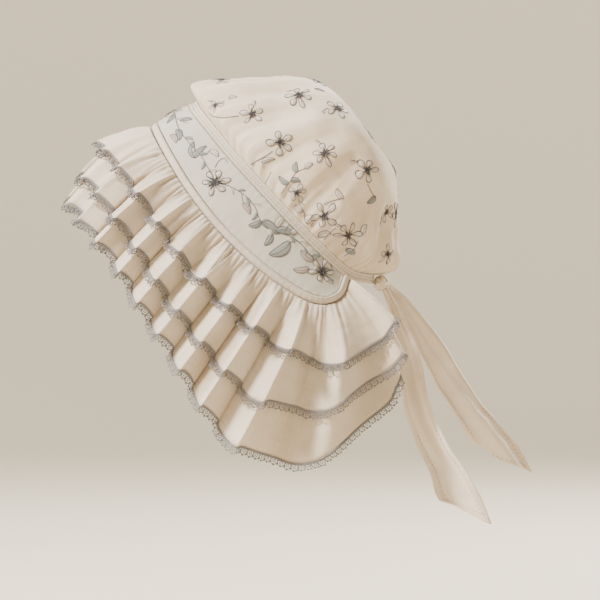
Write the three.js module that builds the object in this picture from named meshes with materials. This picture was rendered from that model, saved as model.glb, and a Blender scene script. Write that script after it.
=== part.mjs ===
// A gathered muslin cap bonnet with three lace-edged ruffles and two ties.
// Sizes are millimetres. The wearer faces -Y, +Z is up and +X is the wearer's left.
// The origin is on top of the wearer's head, just under the seam of the crown, in the middle plane.
import * as THREE from 'three';

// Cloth walls and the clearance kept where two pieces meet
const wall = { crown: 1.2, band: 1.2, ruffle: 1.0, lace: 1.0, tie: 1.1 };
const clearance = 0.6;

// Flat sewn strips: the corded casing round the crown and the binding of the front edge
const casing = { width: 9, thickness: 2.8 };
const binding = { width: 7.2, thickness: 3.6, inset: 0.9 };
const laceWidth = 8;

// Numbers of steps round and along each piece
const crownSteps = { around: 64, outward: 8 };
const casingSteps = 52;
const bandSteps = { along: 44, across: 3 };
const foldSteps = 5;
const tieSteps = { along: 14, across: 2 };
const knotSteps = { around: 12, over: 8 };

// The seam round the crown's opening, from the top of the head to the nape.
// angle: degrees round the loop. dip: how far the band leans down from straight forward.
// splay: how far the band leans outward.
const seamRows = [
  { angle: 0, x: 0, y: -5, z: 10, dip: 20, splay: 0 },
  { angle: 20, x: 29, y: -1, z: 2, dip: 27, splay: 4 },
  { angle: 40, x: 51, y: 13, z: -16, dip: 34, splay: 7 },
  { angle: 60, x: 67, y: 34, z: -42, dip: 39, splay: 9 },
  { angle: 80, x: 75, y: 62, z: -73, dip: 44, splay: 9 },
  { angle: 100, x: 75, y: 92, z: -105, dip: 48, splay: 10 },
  { angle: 120, x: 67, y: 121, z: -134, dip: 60, splay: 10 },
  { angle: 140, x: 51, y: 146, z: -155, dip: 72, splay: 6 },
  { angle: 160, x: 28, y: 164, z: -160, dip: 80, splay: 2 },
  { angle: 180, x: 0, y: 170, z: -161, dip: 82, splay: 0 },
];

// The front edge of the band, from the top of the head round the rounded lower end.
// at: share of the edge's length. seam: the angle on the seam that the band comes from.
const frontRows = [
  { at: 0, seam: 0, x: 0, y: -45, z: -14 },
  { at: 0.1, seam: 20, x: 31, y: -41, z: -23 },
  { at: 0.21, seam: 40, x: 56, y: -29, z: -45 },
  { at: 0.33, seam: 60, x: 73, y: -9, z: -77 },
  { at: 0.48, seam: 80, x: 83, y: 20, z: -114 },
  { at: 0.62, seam: 98, x: 86, y: 54, z: -147 },
  { at: 0.75, seam: 115, x: 84, y: 86, z: -171 },
  { at: 0.84, seam: 131, x: 79.5, y: 111, z: -183.5 },
  { at: 0.9, seam: 137, x: 72.5, y: 128, z: -183.5 },
  { at: 0.95, seam: 137, x: 63, y: 140, z: -176 },
  { at: 1, seam: 137, x: 52, y: 146, z: -161 },
];

// Where the front edge turns up into the rounded end, where the band's end starts to show it, and
// the share of the band's width that leaves the casing straight
const bandShape = { corner: 0.88, endStart: 0.7, straight: 0.55 };

// How the ruffles fall from the front edge, from the top of the head to the nape.
// swing: degrees the cloth swings down and back from square to the edge. Deep: how deep the top,
// middle and lowest ruffle is. Up: degrees that it stands out from the line of the band.
const fallRows = [
  { at: 0, swing: 0, topDeep: 58, topUp: 21, midDeep: 86, midUp: 7, lowDeep: 110, lowUp: 2 },
  { at: 0.1, swing: 12, topDeep: 55, topUp: 22, midDeep: 85, midUp: 11, lowDeep: 111, lowUp: 5 },
  { at: 0.2, swing: 17, topDeep: 53, topUp: 28, midDeep: 83, midUp: 17, lowDeep: 110, lowUp: 10 },
  { at: 0.3, swing: 16, topDeep: 53, topUp: 32, midDeep: 82, midUp: 21, lowDeep: 107, lowUp: 14 },
  { at: 0.4, swing: 12, topDeep: 55, topUp: 34, midDeep: 84, midUp: 22, lowDeep: 108, lowUp: 14 },
  { at: 0.5, swing: 8, topDeep: 58, topUp: 32, midDeep: 90, midUp: 20, lowDeep: 115, lowUp: 13 },
  { at: 0.6, swing: 4, topDeep: 58, topUp: 31, midDeep: 96, midUp: 20, lowDeep: 124, lowUp: 14 },
  { at: 0.7, swing: 1, topDeep: 60, topUp: 32, midDeep: 105, midUp: 21, lowDeep: 140, lowUp: 15 },
  { at: 0.8, swing: -3, topDeep: 63, topUp: 36, midDeep: 115, midUp: 25, lowDeep: 158, lowUp: 18 },
  { at: 0.87, swing: -16, topDeep: 66, topUp: 39, midDeep: 113, midUp: 29, lowDeep: 164, lowUp: 22 },
  { at: 0.94, swing: -34, topDeep: 67, topUp: 35, midDeep: 99, midUp: 27, lowDeep: 137, lowUp: 20 },
  { at: 1, swing: -42, topDeep: 60, topUp: 32, midDeep: 86, midUp: 23, lowDeep: 91, lowUp: 14 },
];

// The ruffles from the outermost in. level: where in the thickness of the binding each is sewn.
const ruffles = [
  { place: 'top', columns: 'top', level: 2.3, rows: 2 },
  { place: 'middle', columns: 'mid', level: 0, rows: 3 },
  { place: 'bottom', columns: 'low', level: -2.1, rows: 3 },
];

// A ruffle first stands out further than its free edge and then falls over
const arch = { degrees: 12, share: 0.5 };

// Folds of the ruffles: how many on each side, how deep they grow with the distance from the band,
// and how much further the cloth hangs on the outside of a fold
const folds = { perSide: 11, deepest: 8.5, growth: 0.15, swag: 4, swagTurn: 0.9 };

// How unlike each other the folds are: by how much, over how many folds and from which turn
const unevenness = { share: 0.22, turns: 0.37, start: 0.8 };

// Sections of the crown from its gathered edge to the back of the head, each an oval hoop
// with its highest and lowest point in the middle plane
const crownRows = [
  { at: 0, topY: 1, topZ: 12, lowY: 171, lowZ: -155, halfWidth: 75 },
  { at: 0.1, topY: -4, topZ: 27, lowY: 189, lowZ: -149, halfWidth: 79 },
  { at: 0.2, topY: 18, topZ: 32, lowY: 194, lowZ: -138, halfWidth: 81 },
  { at: 0.34, topY: 54, topZ: 34, lowY: 192, lowZ: -122, halfWidth: 81 },
  { at: 0.48, topY: 90, topZ: 36, lowY: 193, lowZ: -106, halfWidth: 78 },
  { at: 0.62, topY: 119, topZ: 30, lowY: 194, lowZ: -90, halfWidth: 71 },
  { at: 0.76, topY: 143, topZ: 11, lowY: 193, lowZ: -74, halfWidth: 58 },
  { at: 0.88, topY: 161, topZ: -14, lowY: 192, lowZ: -60, halfWidth: 38 },
  { at: 0.96, topY: 171, topZ: -29, lowY: 187, lowZ: -48, halfWidth: 18 },
  { at: 1, topY: 180, topZ: -39, lowY: 180, lowZ: -39, halfWidth: 0 },
];

// Gathers of the crown: how many, how deep, how deep at the nape and how near it they deepen,
// the share of the crown they cross and how fast they rise
const gathers = { count: 16, depth: 2.2, napeDepth: 3.6, napeStart: 0.3, reach: 0.55, rise: 0.7 };

// The share of the crown over which the bent line of the seam fades out
const seamReach = 0.45;

// The ties. width: of the ribbon. slant and turn: the way its width points, up from straight back
// and out of the middle plane, in degrees
const tieRows = {
  left: [
    { at: 0, x: 4, y: 182, z: -170, width: 9, slant: 10, turn: 50 },
    { at: 0.13, x: 6, y: 192, z: -193, width: 15, slant: 5, turn: 55 },
    { at: 0.31, x: 14, y: 205, z: -235, width: 28, slant: 2, turn: 48 },
    { at: 0.5, x: 24, y: 213, z: -281, width: 34, slant: 8, turn: 46 },
    { at: 0.66, x: 32, y: 226, z: -316, width: 37, slant: 20, turn: 44 },
    { at: 0.83, x: 39, y: 244, z: -349, width: 40, slant: 12, turn: 30 },
    { at: 1, x: 44, y: 260, z: -385, width: 58, slant: -22, turn: 20 },
  ],
  right: [
    { at: 0, x: -4.5, y: 184.6, z: -167.6, width: 9, slant: 40, turn: -40 },
    { at: 0.14, x: -8, y: 201, z: -187, width: 17, slant: 42, turn: -30 },
    { at: 0.34, x: -17, y: 227, z: -227, width: 29, slant: 40, turn: -35 },
    { at: 0.53, x: -28, y: 247, z: -261, width: 33, slant: 30, turn: -40 },
    { at: 0.67, x: -38, y: 265, z: -287, width: 36, slant: 20, turn: -40 },
    { at: 0.81, x: -47, y: 284, z: -312, width: 40, slant: 14, turn: -25 },
    { at: 1, x: -57, y: 307, z: -342, width: 56, slant: -24, turn: -10 },
  ],
};

// The knot at the nape
const knot = { y: 178.2, z: -163, halfWidth: 10, halfDepth: 7.5, halfHeight: 8, pinch: 0.12, pinchPower: 4 };

// Steps to a neighbouring place, as an angle on the seam and as a share of an edge
const nearAngle = 1;
const nearShare = 0.01;

// A smooth curve through one column of a table. rounded: the curve is level at the first row.
function valueAt(rows, key, column, place, rounded) {
  const last = rows.length - 1;
  let i = 0;
  while (i < last - 1 && place > rows[i + 1][key]) i += 1;
  const slope = (k) => {
    if (k === 0 && rounded) return 0;
    const before = rows[Math.max(k - 1, 0)];
    const after = rows[Math.min(k + 1, last)];
    return (after[column] - before[column]) / (after[key] - before[key]);
  };
  const span = rows[i + 1][key] - rows[i][key];
  const t = THREE.MathUtils.clamp((place - rows[i][key]) / span, 0, 1);
  const t2 = t * t;
  const t3 = t2 * t;
  return (2 * t3 - 3 * t2 + 1) * rows[i][column]
    + (t3 - 2 * t2 + t) * span * slope(i)
    + (3 * t2 - 2 * t3) * rows[i + 1][column]
    + (t3 - t2) * span * slope(i + 1);
}

const vector = (x, y, z) => new THREE.Vector3(x, y, z);
const along = (start, direction, distance) => start.clone().addScaledVector(direction, distance);
const crossed = (a, b) => new THREE.Vector3().crossVectors(a, b).normalize();
const mirrored = (point, side) => vector(point.x * side, point.y, point.z);

// The middle of the seam on the wearer's left at an angle from the top of the head
function seamPoint(angle) {
  return vector(
    valueAt(seamRows, 'angle', 'x', angle, false),
    valueAt(seamRows, 'angle', 'y', angle, true),
    valueAt(seamRows, 'angle', 'z', angle, true),
  );
}

// Directions on the seam: out of the cloth and across it towards the band
function seamFrame(angle) {
  const ahead = seamPoint(Math.min(angle + nearAngle, 180));
  const behind = seamPoint(Math.max(angle - nearAngle, 0));
  const tangent = ahead.sub(behind).normalize();
  if (angle < nearAngle) tangent.set(1, 0, 0);
  if (angle > 180 - nearAngle) tangent.set(-1, 0, 0);
  const dip = THREE.MathUtils.degToRad(valueAt(seamRows, 'angle', 'dip', angle, false));
  const splay = THREE.MathUtils.degToRad(valueAt(seamRows, 'angle', 'splay', angle, false));
  const lean = vector(Math.sin(splay), -Math.cos(splay) * Math.cos(dip), -Math.cos(splay) * Math.sin(dip));
  const out = crossed(lean, tangent);
  return { out, across: crossed(tangent, out) };
}

// The front edge of the band on the wearer's left
function frontPoint(at) {
  return vector(
    valueAt(frontRows, 'at', 'x', at, false),
    valueAt(frontRows, 'at', 'y', at, true),
    valueAt(frontRows, 'at', 'z', at, true),
  );
}

// The seam's oval, from which the cloth of the band and the ruffles faces outward
const loopTop = seamPoint(0);
const loopNape = seamPoint(180);
const loopMiddle = loopTop.clone().lerp(loopNape, 0.5);
const loopAxis = loopNape.clone().sub(loopTop);
const loopLength = loopAxis.length() / 2;
const loopWidth = Math.max(...seamRows.map((row) => row.x));
loopAxis.normalize();

// Directions on the front edge: along it, out of the cloth and away from the band
function frontFrame(at) {
  const tangent = frontPoint(Math.min(at + nearShare, 1)).sub(frontPoint(Math.max(at - nearShare, 0)));
  if (at < nearShare) tangent.set(1, 0, 0);
  tangent.normalize();
  const point = frontPoint(at);
  const down = point.clone().sub(loopMiddle).dot(loopAxis);
  const outward = vector(point.x / loopWidth ** 2, 0, 0).addScaledVector(loopAxis, down / loopLength ** 2);
  const away = crossed(tangent, outward.normalize());
  return { tangent, away, out: crossed(away, tangent) };
}

// A point on a curve that leaves start towards control and comes to end
function bend(start, control, end, t) {
  return start.clone().multiplyScalar((1 - t) ** 2)
    .addScaledVector(control, 2 * t * (1 - t))
    .addScaledVector(end, t * t);
}

// A closed wall of cloth from a grid of points in its middle. The grid's rows run from one edge to
// the other. ring: each row closes on itself. pole: the last row is one point.
function clothWall(grid, thickness, { ring = false, pole = false } = {}) {
  const rows = grid.length;
  const columns = grid[0].length;
  const pointAt = (r, c) => {
    const column = ring ? (c + columns) % columns : THREE.MathUtils.clamp(c, 0, columns - 1);
    return grid[THREE.MathUtils.clamp(r, 0, rows - 1)][column];
  };
  const positions = [];
  const facing = (r, c) => {
    const beside = pointAt(r, c + 1).clone().sub(pointAt(r, c - 1));
    const onward = pointAt(r + 1, c).clone().sub(pointAt(r - 1, c));
    return crossed(beside, onward);
  };
  const poleFacing = new THREE.Vector3();
  if (pole) for (let c = 0; c < columns; c += 1) poleFacing.add(facing(rows - 2, c));
  for (const half of [thickness / 2, -thickness / 2]) {
    for (let r = 0; r < rows; r += 1) {
      for (let c = 0; c < columns; c += 1) {
        const out = pole && r === rows - 1 ? poleFacing.clone().normalize() : facing(r, c);
        positions.push(...along(grid[r][c], out, half).toArray());
      }
    }
  }
  const index = (layer, r, c) => (layer * rows + r) * columns + (ring ? c % columns : c);
  const triangles = [];
  const quad = (a, b, c, d) => triangles.push(a, b, c, a, c, d);
  const spans = ring ? columns : columns - 1;
  for (let c = 0; c < spans; c += 1) {
    for (let r = 0; r < rows - 1; r += 1) {
      const tip = pole && r === rows - 2;
      const outer = [index(0, r, c), index(0, r, c + 1), index(0, r + 1, c + 1), index(0, r + 1, c)];
      const inner = [index(1, r, c), index(1, r + 1, c), index(1, r + 1, c + 1), index(1, r, c + 1)];
      if (tip) {
        triangles.push(outer[0], outer[1], index(0, rows - 1, 0), inner[0], index(1, rows - 1, 0), inner[3]);
      } else {
        quad(...outer);
        quad(...inner);
      }
    }
    quad(index(0, 0, c), index(1, 0, c), index(1, 0, c + 1), index(0, 0, c + 1));
    if (!pole) {
      const r = rows - 1;
      quad(index(0, r, c), index(0, r, c + 1), index(1, r, c + 1), index(1, r, c));
    }
  }
  if (!ring) {
    const c = columns - 1;
    for (let r = 0; r < rows - 1; r += 1) {
      quad(index(0, r, 0), index(0, r + 1, 0), index(1, r + 1, 0), index(1, r, 0));
      quad(index(0, r, c), index(1, r, c), index(1, r + 1, c), index(0, r + 1, c));
    }
  }
  const geometry = new THREE.BufferGeometry();
  geometry.setAttribute('position', new THREE.Float32BufferAttribute(positions, 3));
  geometry.setIndex(triangles);
  geometry.computeVertexNormals();
  return geometry;
}

// A flat strip with softened edges along a line of places. Each place has a point in the strip's
// middle, the way out of its face and the way across it.
function flatStrip(places, width, thickness, closed) {
  const flat = 0.32;
  const section = [[0.5, 0], [flat, 0.5], [-flat, 0.5], [-0.5, 0], [-flat, -0.5], [flat, -0.5]];
  const sides = section.length;
  const positions = [];
  for (const { point, out, across } of places) {
    for (const [u, v] of section) {
      positions.push(...along(along(point, across, u * width), out, v * thickness).toArray());
    }
  }
  const triangles = [];
  const count = places.length;
  for (let i = 0; i < (closed ? count : count - 1); i += 1) {
    for (let k = 0; k < sides; k += 1) {
      const a = i * sides + k;
      const b = i * sides + (k + 1) % sides;
      const c = ((i + 1) % count) * sides + (k + 1) % sides;
      const d = ((i + 1) % count) * sides + k;
      triangles.push(a, c, b, a, d, c);
    }
  }
  if (!closed) {
    const end = (count - 1) * sides;
    for (let k = 1; k < sides - 1; k += 1) {
      triangles.push(0, k, k + 1, end, end + k + 1, end + k);
    }
  }
  const geometry = new THREE.BufferGeometry();
  geometry.setAttribute('position', new THREE.Float32BufferAttribute(positions, 3));
  geometry.setIndex(triangles);
  geometry.computeVertexNormals();
  return geometry;
}

// Values from -1 on the wearer's right through 0 at the top of the head to 1 on the left
const acrossHead = (steps) => Array.from({ length: steps + 1 }, (_, i) => (2 * i) / steps - 1);

// The places of the band and its binding stand closer together round the ends
const crowding = 0.4;
const bandPlaces = acrossHead(bandSteps.along).map((place) => ({
  side: Math.sign(place) || 1,
  at: Math.abs(place) * (1 + crowding - crowding * Math.abs(place)),
}));

// Crown: an oval hoop of the crown at a share of the way to the back
function hoopPoint(turn, at) {
  const [topY, topZ, lowY, lowZ, halfWidth] = ['topY', 'topZ', 'lowY', 'lowZ', 'halfWidth']
    .map((column) => valueAt(crownRows, 'at', column, at, false));
  const share = (1 - Math.cos(turn)) / 2;
  return vector(
    Math.sin(turn) * halfWidth,
    THREE.MathUtils.lerp(topY, lowY, share),
    THREE.MathUtils.lerp(topZ, lowZ, share),
  );
}

// The crown's gathered edge, which lies behind the casing
function crownEdge(turn) {
  const side = turn > Math.PI ? -1 : 1;
  const angle = THREE.MathUtils.radToDeg(side > 0 ? turn : 2 * Math.PI - turn);
  const { across } = seamFrame(angle);
  const behind = casing.width / 2 + clearance + wall.crown / 2;
  return mirrored(along(seamPoint(angle), across, -behind), side);
}

function crownPoint(turn, at) {
  const point = hoopPoint(turn, at);
  const seamShare = 1 - THREE.MathUtils.smoothstep(at, 0, seamReach);
  point.addScaledVector(crownEdge(turn).sub(hoopPoint(turn, 0)), seamShare);
  const nape = THREE.MathUtils.smoothstep(-Math.cos(turn), gathers.napeStart, 1);
  const depth = THREE.MathUtils.lerp(gathers.depth, gathers.napeDepth, nape);
  const fade = Math.sin(Math.PI * Math.min(at / gathers.reach, 1)) ** gathers.rise;
  const middle = hoopPoint(0, at).add(hoopPoint(Math.PI, at)).multiplyScalar(0.5);
  const outward = point.clone().sub(middle).normalize();
  return point.addScaledVector(outward, depth * fade * Math.cos(gathers.count * turn));
}

function crownGeometry() {
  const grid = [];
  for (let r = 0; r <= crownSteps.outward; r += 1) {
    const at = r / crownSteps.outward;
    grid.push(Array.from(
      { length: crownSteps.around },
      (_, c) => crownPoint((c / crownSteps.around) * 2 * Math.PI, at),
    ));
  }
  return clothWall(grid, wall.crown, { ring: true, pole: true });
}

function casingGeometry() {
  const places = Array.from({ length: casingSteps }, (_, i) => {
    const turn = (i / casingSteps) * 360;
    const side = turn > 180 ? -1 : 1;
    const angle = side > 0 ? turn : 360 - turn;
    const { out, across } = seamFrame(angle);
    return {
      point: mirrored(seamPoint(angle), side),
      out: mirrored(out, side),
      across: mirrored(across, side),
    };
  });
  return flatStrip(places, casing.width, casing.thickness, true);
}

// Head band: from the casing to the binding, leaving the casing along its lean
function bandAcross(at, share) {
  const angle = valueAt(frontRows, 'at', 'seam', at, false);
  const seam = seamPoint(angle);
  const { across } = seamFrame(angle);
  const front = frontPoint(at);
  const { away } = frontFrame(at);
  const start = along(seam, across, casing.width / 2 + clearance);
  const end = along(front, away, -binding.width - binding.inset);
  const reach = seam.distanceTo(front) * bandShape.straight;
  return bend(start, along(seam, across, reach), end, share);
}

// The band's rounded end, from the casing down to the corner of the front edge
function bandEnd(share) {
  const at = 1 - (1 - bandShape.corner) * share;
  const edge = along(frontPoint(at), frontFrame(at).away, -binding.width - binding.inset);
  const first = along(frontPoint(1), frontFrame(1).away, -binding.width - binding.inset);
  return edge.addScaledVector(bandAcross(bandShape.corner, 0).sub(first), 1 - share);
}

// place: from the top of the head to the band's end
function bandPoint(place, share) {
  const point = bandAcross(place * bandShape.corner, share);
  const bulge = bandEnd(share).sub(bandAcross(bandShape.corner, share));
  return point.addScaledVector(bulge, THREE.MathUtils.smoothstep(place, bandShape.endStart, 1));
}

function bandGeometry() {
  const grid = [];
  for (let r = 0; r <= bandSteps.across; r += 1) {
    grid.push(bandPlaces.map(({ side, at }) => mirrored(bandPoint(at, r / bandSteps.across), side)));
  }
  return clothWall(grid, wall.band);
}

function bindingGeometry() {
  const places = bandPlaces.map(({ side, at }) => {
    const { out, away } = frontFrame(at);
    return {
      point: mirrored(along(frontPoint(at), away, -binding.width / 2), side),
      out: mirrored(out, side),
      across: mirrored(away, side),
    };
  });
  return flatStrip(places, binding.width, binding.thickness, false);
}

const ruffleLength = (ruffle, at) => valueAt(fallRows, 'at', `${ruffle.columns}Deep`, at, false);

// A ruffle without its folds, at a share of the way to its free edge
function ruffleBase(ruffle, at, share) {
  const fall = (column) => valueAt(fallRows, 'at', column, at, false);
  const { tangent, away, out } = frontFrame(at);
  const start = along(along(frontPoint(at), away, clearance), out, ruffle.level);
  const swing = THREE.MathUtils.degToRad(fall('swing'));
  const flat = away.clone().multiplyScalar(Math.cos(swing)).addScaledVector(tangent, Math.sin(swing));
  const length = fall(`${ruffle.columns}Deep`);
  const toward = (degrees) => {
    const lift = THREE.MathUtils.degToRad(degrees);
    return flat.clone().multiplyScalar(Math.cos(lift)).addScaledVector(out, Math.sin(lift));
  };
  const spring = fall(`${ruffle.columns}Up`);
  const control = along(start, toward(spring + arch.degrees), length * arch.share);
  return bend(start, control, along(start, toward(spring), length), share);
}

// The ruffle on the wearer's left with its folds, which deepen away from the band
function rufflePoint(ruffle, at, clothShare) {
  const turn = folds.perSide * 2 * Math.PI * at;
  const length = ruffleLength(ruffle, at);
  const share = clothShare * (1 + (folds.swag / length) * Math.cos(turn + folds.swagTurn));
  const point = ruffleBase(ruffle, at, share);
  const beside = ruffleBase(ruffle, Math.min(at + nearShare, 1), share)
    .sub(ruffleBase(ruffle, Math.max(at - nearShare, 0), share));
  if (at < nearShare) beside.set(1, 0, 0);
  const onward = ruffleBase(ruffle, at, share + nearShare).sub(ruffleBase(ruffle, at, share - nearShare));
  const out = crossed(onward, beside);
  const uneven = 1 + unevenness.share * Math.sin(turn * unevenness.turns + unevenness.start);
  const depth = Math.min(folds.growth * length * share, folds.deepest) * uneven;
  return point.addScaledVector(out, depth * Math.cos(turn));
}

function ruffleGeometry(ruffle, shares, thickness) {
  const places = acrossHead(2 * folds.perSide * foldSteps);
  const grid = shares.map((shareOf) => places.map((place) => {
    const at = Math.abs(place);
    return mirrored(rufflePoint(ruffle, at, shareOf(ruffleLength(ruffle, at))), Math.sign(place) || 1);
  }));
  return clothWall(grid, thickness);
}

// Shares of a ruffle's length at which its cloth and its lace have their rows
const clothShares = (count) => Array.from(
  { length: count + 1 },
  (_, i) => (length) => (i / count) * (1 - (laceWidth + clearance) / length),
);
const laceShares = [(length) => 1 - laceWidth / length, () => 1];

function tiePoint(rows, at, share) {
  const [x, y, z, width, slant, turn] = ['x', 'y', 'z', 'width', 'slant', 'turn']
    .map((column) => valueAt(rows, 'at', column, at, false));
  const slantAngle = THREE.MathUtils.degToRad(slant);
  const turnAngle = THREE.MathUtils.degToRad(turn);
  const across = vector(
    Math.sin(turnAngle),
    Math.cos(turnAngle) * Math.cos(slantAngle),
    Math.cos(turnAngle) * Math.sin(slantAngle),
  );
  return along(vector(x, y, z), across, (share - 0.5) * width);
}

function tieGeometry(rows) {
  const grid = [];
  for (let r = 0; r <= tieSteps.across; r += 1) {
    grid.push(Array.from(
      { length: tieSteps.along + 1 },
      (_, c) => tiePoint(rows, c / tieSteps.along, r / tieSteps.across),
    ));
  }
  return clothWall(grid, wall.tie);
}

function knotGeometry() {
  const geometry = new THREE.SphereGeometry(1, knotSteps.around, knotSteps.over);
  const place = geometry.attributes.position;
  for (let i = 0; i < place.count; i += 1) {
    const waist = 1 - knot.pinch * Math.cos(place.getX(i) * Math.PI / 2) ** knot.pinchPower;
    place.setXYZ(
      i,
      place.getX(i) * knot.halfWidth,
      knot.y + place.getY(i) * knot.halfDepth * waist,
      knot.z + place.getZ(i) * knot.halfHeight * waist,
    );
  }
  return geometry;
}

// Finishes
const muslin = { color: 0xeae0cf, roughness: 0.9, metalness: 0 };
const bandCloth = { color: 0xe6dac6, roughness: 0.9, metalness: 0 };
const tape = { color: 0xe2d6c2, roughness: 0.85, metalness: 0 };
const laceThread = { color: 0xc9bdab, roughness: 0.9, metalness: 0 };
const ribbon = { color: 0xe9ddcc, roughness: 0.7, metalness: 0 };

const bonnet = new THREE.Group();

function addPiece(name, geometry, finish) {
  const mesh = new THREE.Mesh(geometry, new THREE.MeshStandardMaterial(finish));
  mesh.name = name;
  bonnet.add(mesh);
}

addPiece('crown', crownGeometry(), muslin);
addPiece('crown_casing', casingGeometry(), tape);
addPiece('head_band', bandGeometry(), bandCloth);
addPiece('front_binding', bindingGeometry(), tape);
ruffles.forEach((ruffle) => {
  addPiece(`ruffle_${ruffle.place}`, ruffleGeometry(ruffle, clothShares(ruffle.rows), wall.ruffle), muslin);
  addPiece(`lace_${ruffle.place}`, ruffleGeometry(ruffle, laceShares, wall.lace), laceThread);
});
addPiece('tie_knot', knotGeometry(), ribbon);
addPiece('tie_left', tieGeometry(tieRows.left), ribbon);
addPiece('tie_right', tieGeometry(tieRows.right), ribbon);

export default bonnet;
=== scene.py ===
import math

import bmesh
import bpy
import numpy as np
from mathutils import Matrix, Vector


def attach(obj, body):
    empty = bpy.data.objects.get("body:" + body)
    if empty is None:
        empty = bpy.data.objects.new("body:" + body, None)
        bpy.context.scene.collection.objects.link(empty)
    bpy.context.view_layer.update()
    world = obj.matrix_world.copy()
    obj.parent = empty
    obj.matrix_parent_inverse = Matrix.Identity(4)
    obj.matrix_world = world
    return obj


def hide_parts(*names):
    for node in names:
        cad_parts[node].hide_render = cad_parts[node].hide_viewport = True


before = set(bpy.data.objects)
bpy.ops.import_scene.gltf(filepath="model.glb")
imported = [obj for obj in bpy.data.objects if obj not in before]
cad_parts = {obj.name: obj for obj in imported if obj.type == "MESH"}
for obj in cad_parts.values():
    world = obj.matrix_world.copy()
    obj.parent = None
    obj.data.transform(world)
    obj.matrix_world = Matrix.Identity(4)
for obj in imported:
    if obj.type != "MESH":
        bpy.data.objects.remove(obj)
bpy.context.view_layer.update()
print("frame loaded")

# Sizes are in millimetres here, as on the pattern, and each mesh is turned into metres once.
# The wearer faces -Y, +Z is up and +X is the wearer's left.
mm = 0.001
fullTurn = 2 * math.pi


def table(columns, *rows):
    values = np.array(rows, dtype=float)
    named = {name: values[:, i] for i, name in enumerate(columns.split())}
    named["key"] = values[:, 0]
    return named


# The pattern of the bonnet, with the same rows as its solids

crownWall = 1.2
clearance = 0.6
casing = {"width": 9.0, "thickness": 2.8}
binding = {"width": 7.2, "thickness": 3.6, "inset": 0.9}
laceWidth = 8.0

seamRows = table(
    "angle x y z dip splay",
    (0, 0, -5, 10, 20, 0),
    (20, 29, -1, 2, 27, 4),
    (40, 51, 13, -16, 34, 7),
    (60, 67, 34, -42, 39, 9),
    (80, 75, 62, -73, 44, 9),
    (100, 75, 92, -105, 48, 10),
    (120, 67, 121, -134, 60, 10),
    (140, 51, 146, -155, 72, 6),
    (160, 28, 164, -160, 80, 2),
    (180, 0, 170, -161, 82, 0),
)
frontRows = table(
    "at seam x y z",
    (0, 0, 0, -45, -14),
    (0.1, 20, 31, -41, -23),
    (0.21, 40, 56, -29, -45),
    (0.33, 60, 73, -9, -77),
    (0.48, 80, 83, 20, -114),
    (0.62, 98, 86, 54, -147),
    (0.75, 115, 84, 86, -171),
    (0.84, 131, 79.5, 111, -183.5),
    (0.9, 137, 72.5, 128, -183.5),
    (0.95, 137, 63, 140, -176),
    (1, 137, 52, 146, -161),
)
bandShape = {"corner": 0.88, "endStart": 0.7, "straight": 0.55}
fallRows = table(
    "at swing topDeep topUp midDeep midUp lowDeep lowUp",
    (0, 0, 58, 21, 86, 7, 110, 2),
    (0.1, 12, 55, 22, 85, 11, 111, 5),
    (0.2, 17, 53, 28, 83, 17, 110, 10),
    (0.3, 16, 53, 32, 82, 21, 107, 14),
    (0.4, 12, 55, 34, 84, 22, 108, 14),
    (0.5, 8, 58, 32, 90, 20, 115, 13),
    (0.6, 4, 58, 31, 96, 20, 124, 14),
    (0.7, 1, 60, 32, 105, 21, 140, 15),
    (0.8, -3, 63, 36, 115, 25, 158, 18),
    (0.87, -16, 66, 39, 113, 29, 164, 22),
    (0.94, -34, 67, 35, 99, 27, 137, 20),
    (1, -42, 60, 32, 86, 23, 91, 14),
)
ruffles = [
    {"place": "top", "columns": "top", "level": 2.3},
    {"place": "middle", "columns": "mid", "level": 0.0},
    {"place": "bottom", "columns": "low", "level": -2.1},
]
arch = {"degrees": 12, "share": 0.5}
# The number of folds is a choice: the drawing shows fewer of them, and uneven ones
folds = {"perSide": 11, "deepest": 8.5, "growth": 0.15, "swag": 4, "swagTurn": 0.9}
unevenness = {"share": 0.22, "turns": 0.37, "start": 0.8}
crownRows = table(
    "at topY topZ lowY lowZ halfWidth",
    (0, 1, 12, 171, -155, 75),
    (0.1, -4, 27, 189, -149, 79),
    (0.2, 18, 32, 194, -138, 81),
    (0.34, 54, 34, 192, -122, 81),
    (0.48, 90, 36, 193, -106, 78),
    (0.62, 119, 30, 194, -90, 71),
    (0.76, 143, 11, 193, -74, 58),
    (0.88, 161, -14, 192, -60, 38),
    (0.96, 171, -29, 187, -48, 18),
    (1, 180, -39, 180, -39, 0),
)
gathers = {"count": 16, "depth": 2.2, "napeDepth": 3.6, "napeStart": 0.3, "reach": 0.55, "rise": 0.7}
seamReach = 0.45
tieRows = {
    "left": table(
        "at x y z width slant turn",
        (0, 4, 182, -170, 9, 10, 50),
        (0.13, 6, 192, -193, 15, 5, 55),
        (0.31, 14, 205, -235, 28, 2, 48),
        (0.5, 24, 213, -281, 34, 8, 46),
        (0.66, 32, 226, -316, 37, 20, 44),
        (0.83, 39, 244, -349, 40, 12, 30),
        (1, 44, 260, -385, 58, -22, 20),
    ),
    "right": table(
        "at x y z width slant turn",
        (0, -4.5, 184.6, -167.6, 9, 40, -40),
        (0.14, -8, 201, -187, 17, 42, -30),
        (0.34, -17, 227, -227, 29, 40, -35),
        (0.53, -28, 247, -261, 33, 30, -40),
        (0.67, -38, 265, -287, 36, 20, -40),
        (0.81, -47, 284, -312, 40, 14, -25),
        (1, -57, 307, -342, 56, -24, -10),
    ),
}
knot = {"y": 178.2, "z": -163, "halfWidth": 10, "halfDepth": 7.5, "halfHeight": 8}


# Small maths on arrays of points

def unit(v):
    return v / np.maximum(np.linalg.norm(v, axis=-1, keepdims=True), 1e-9)


def crossed(a, b):
    return unit(np.cross(a, b))


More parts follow.
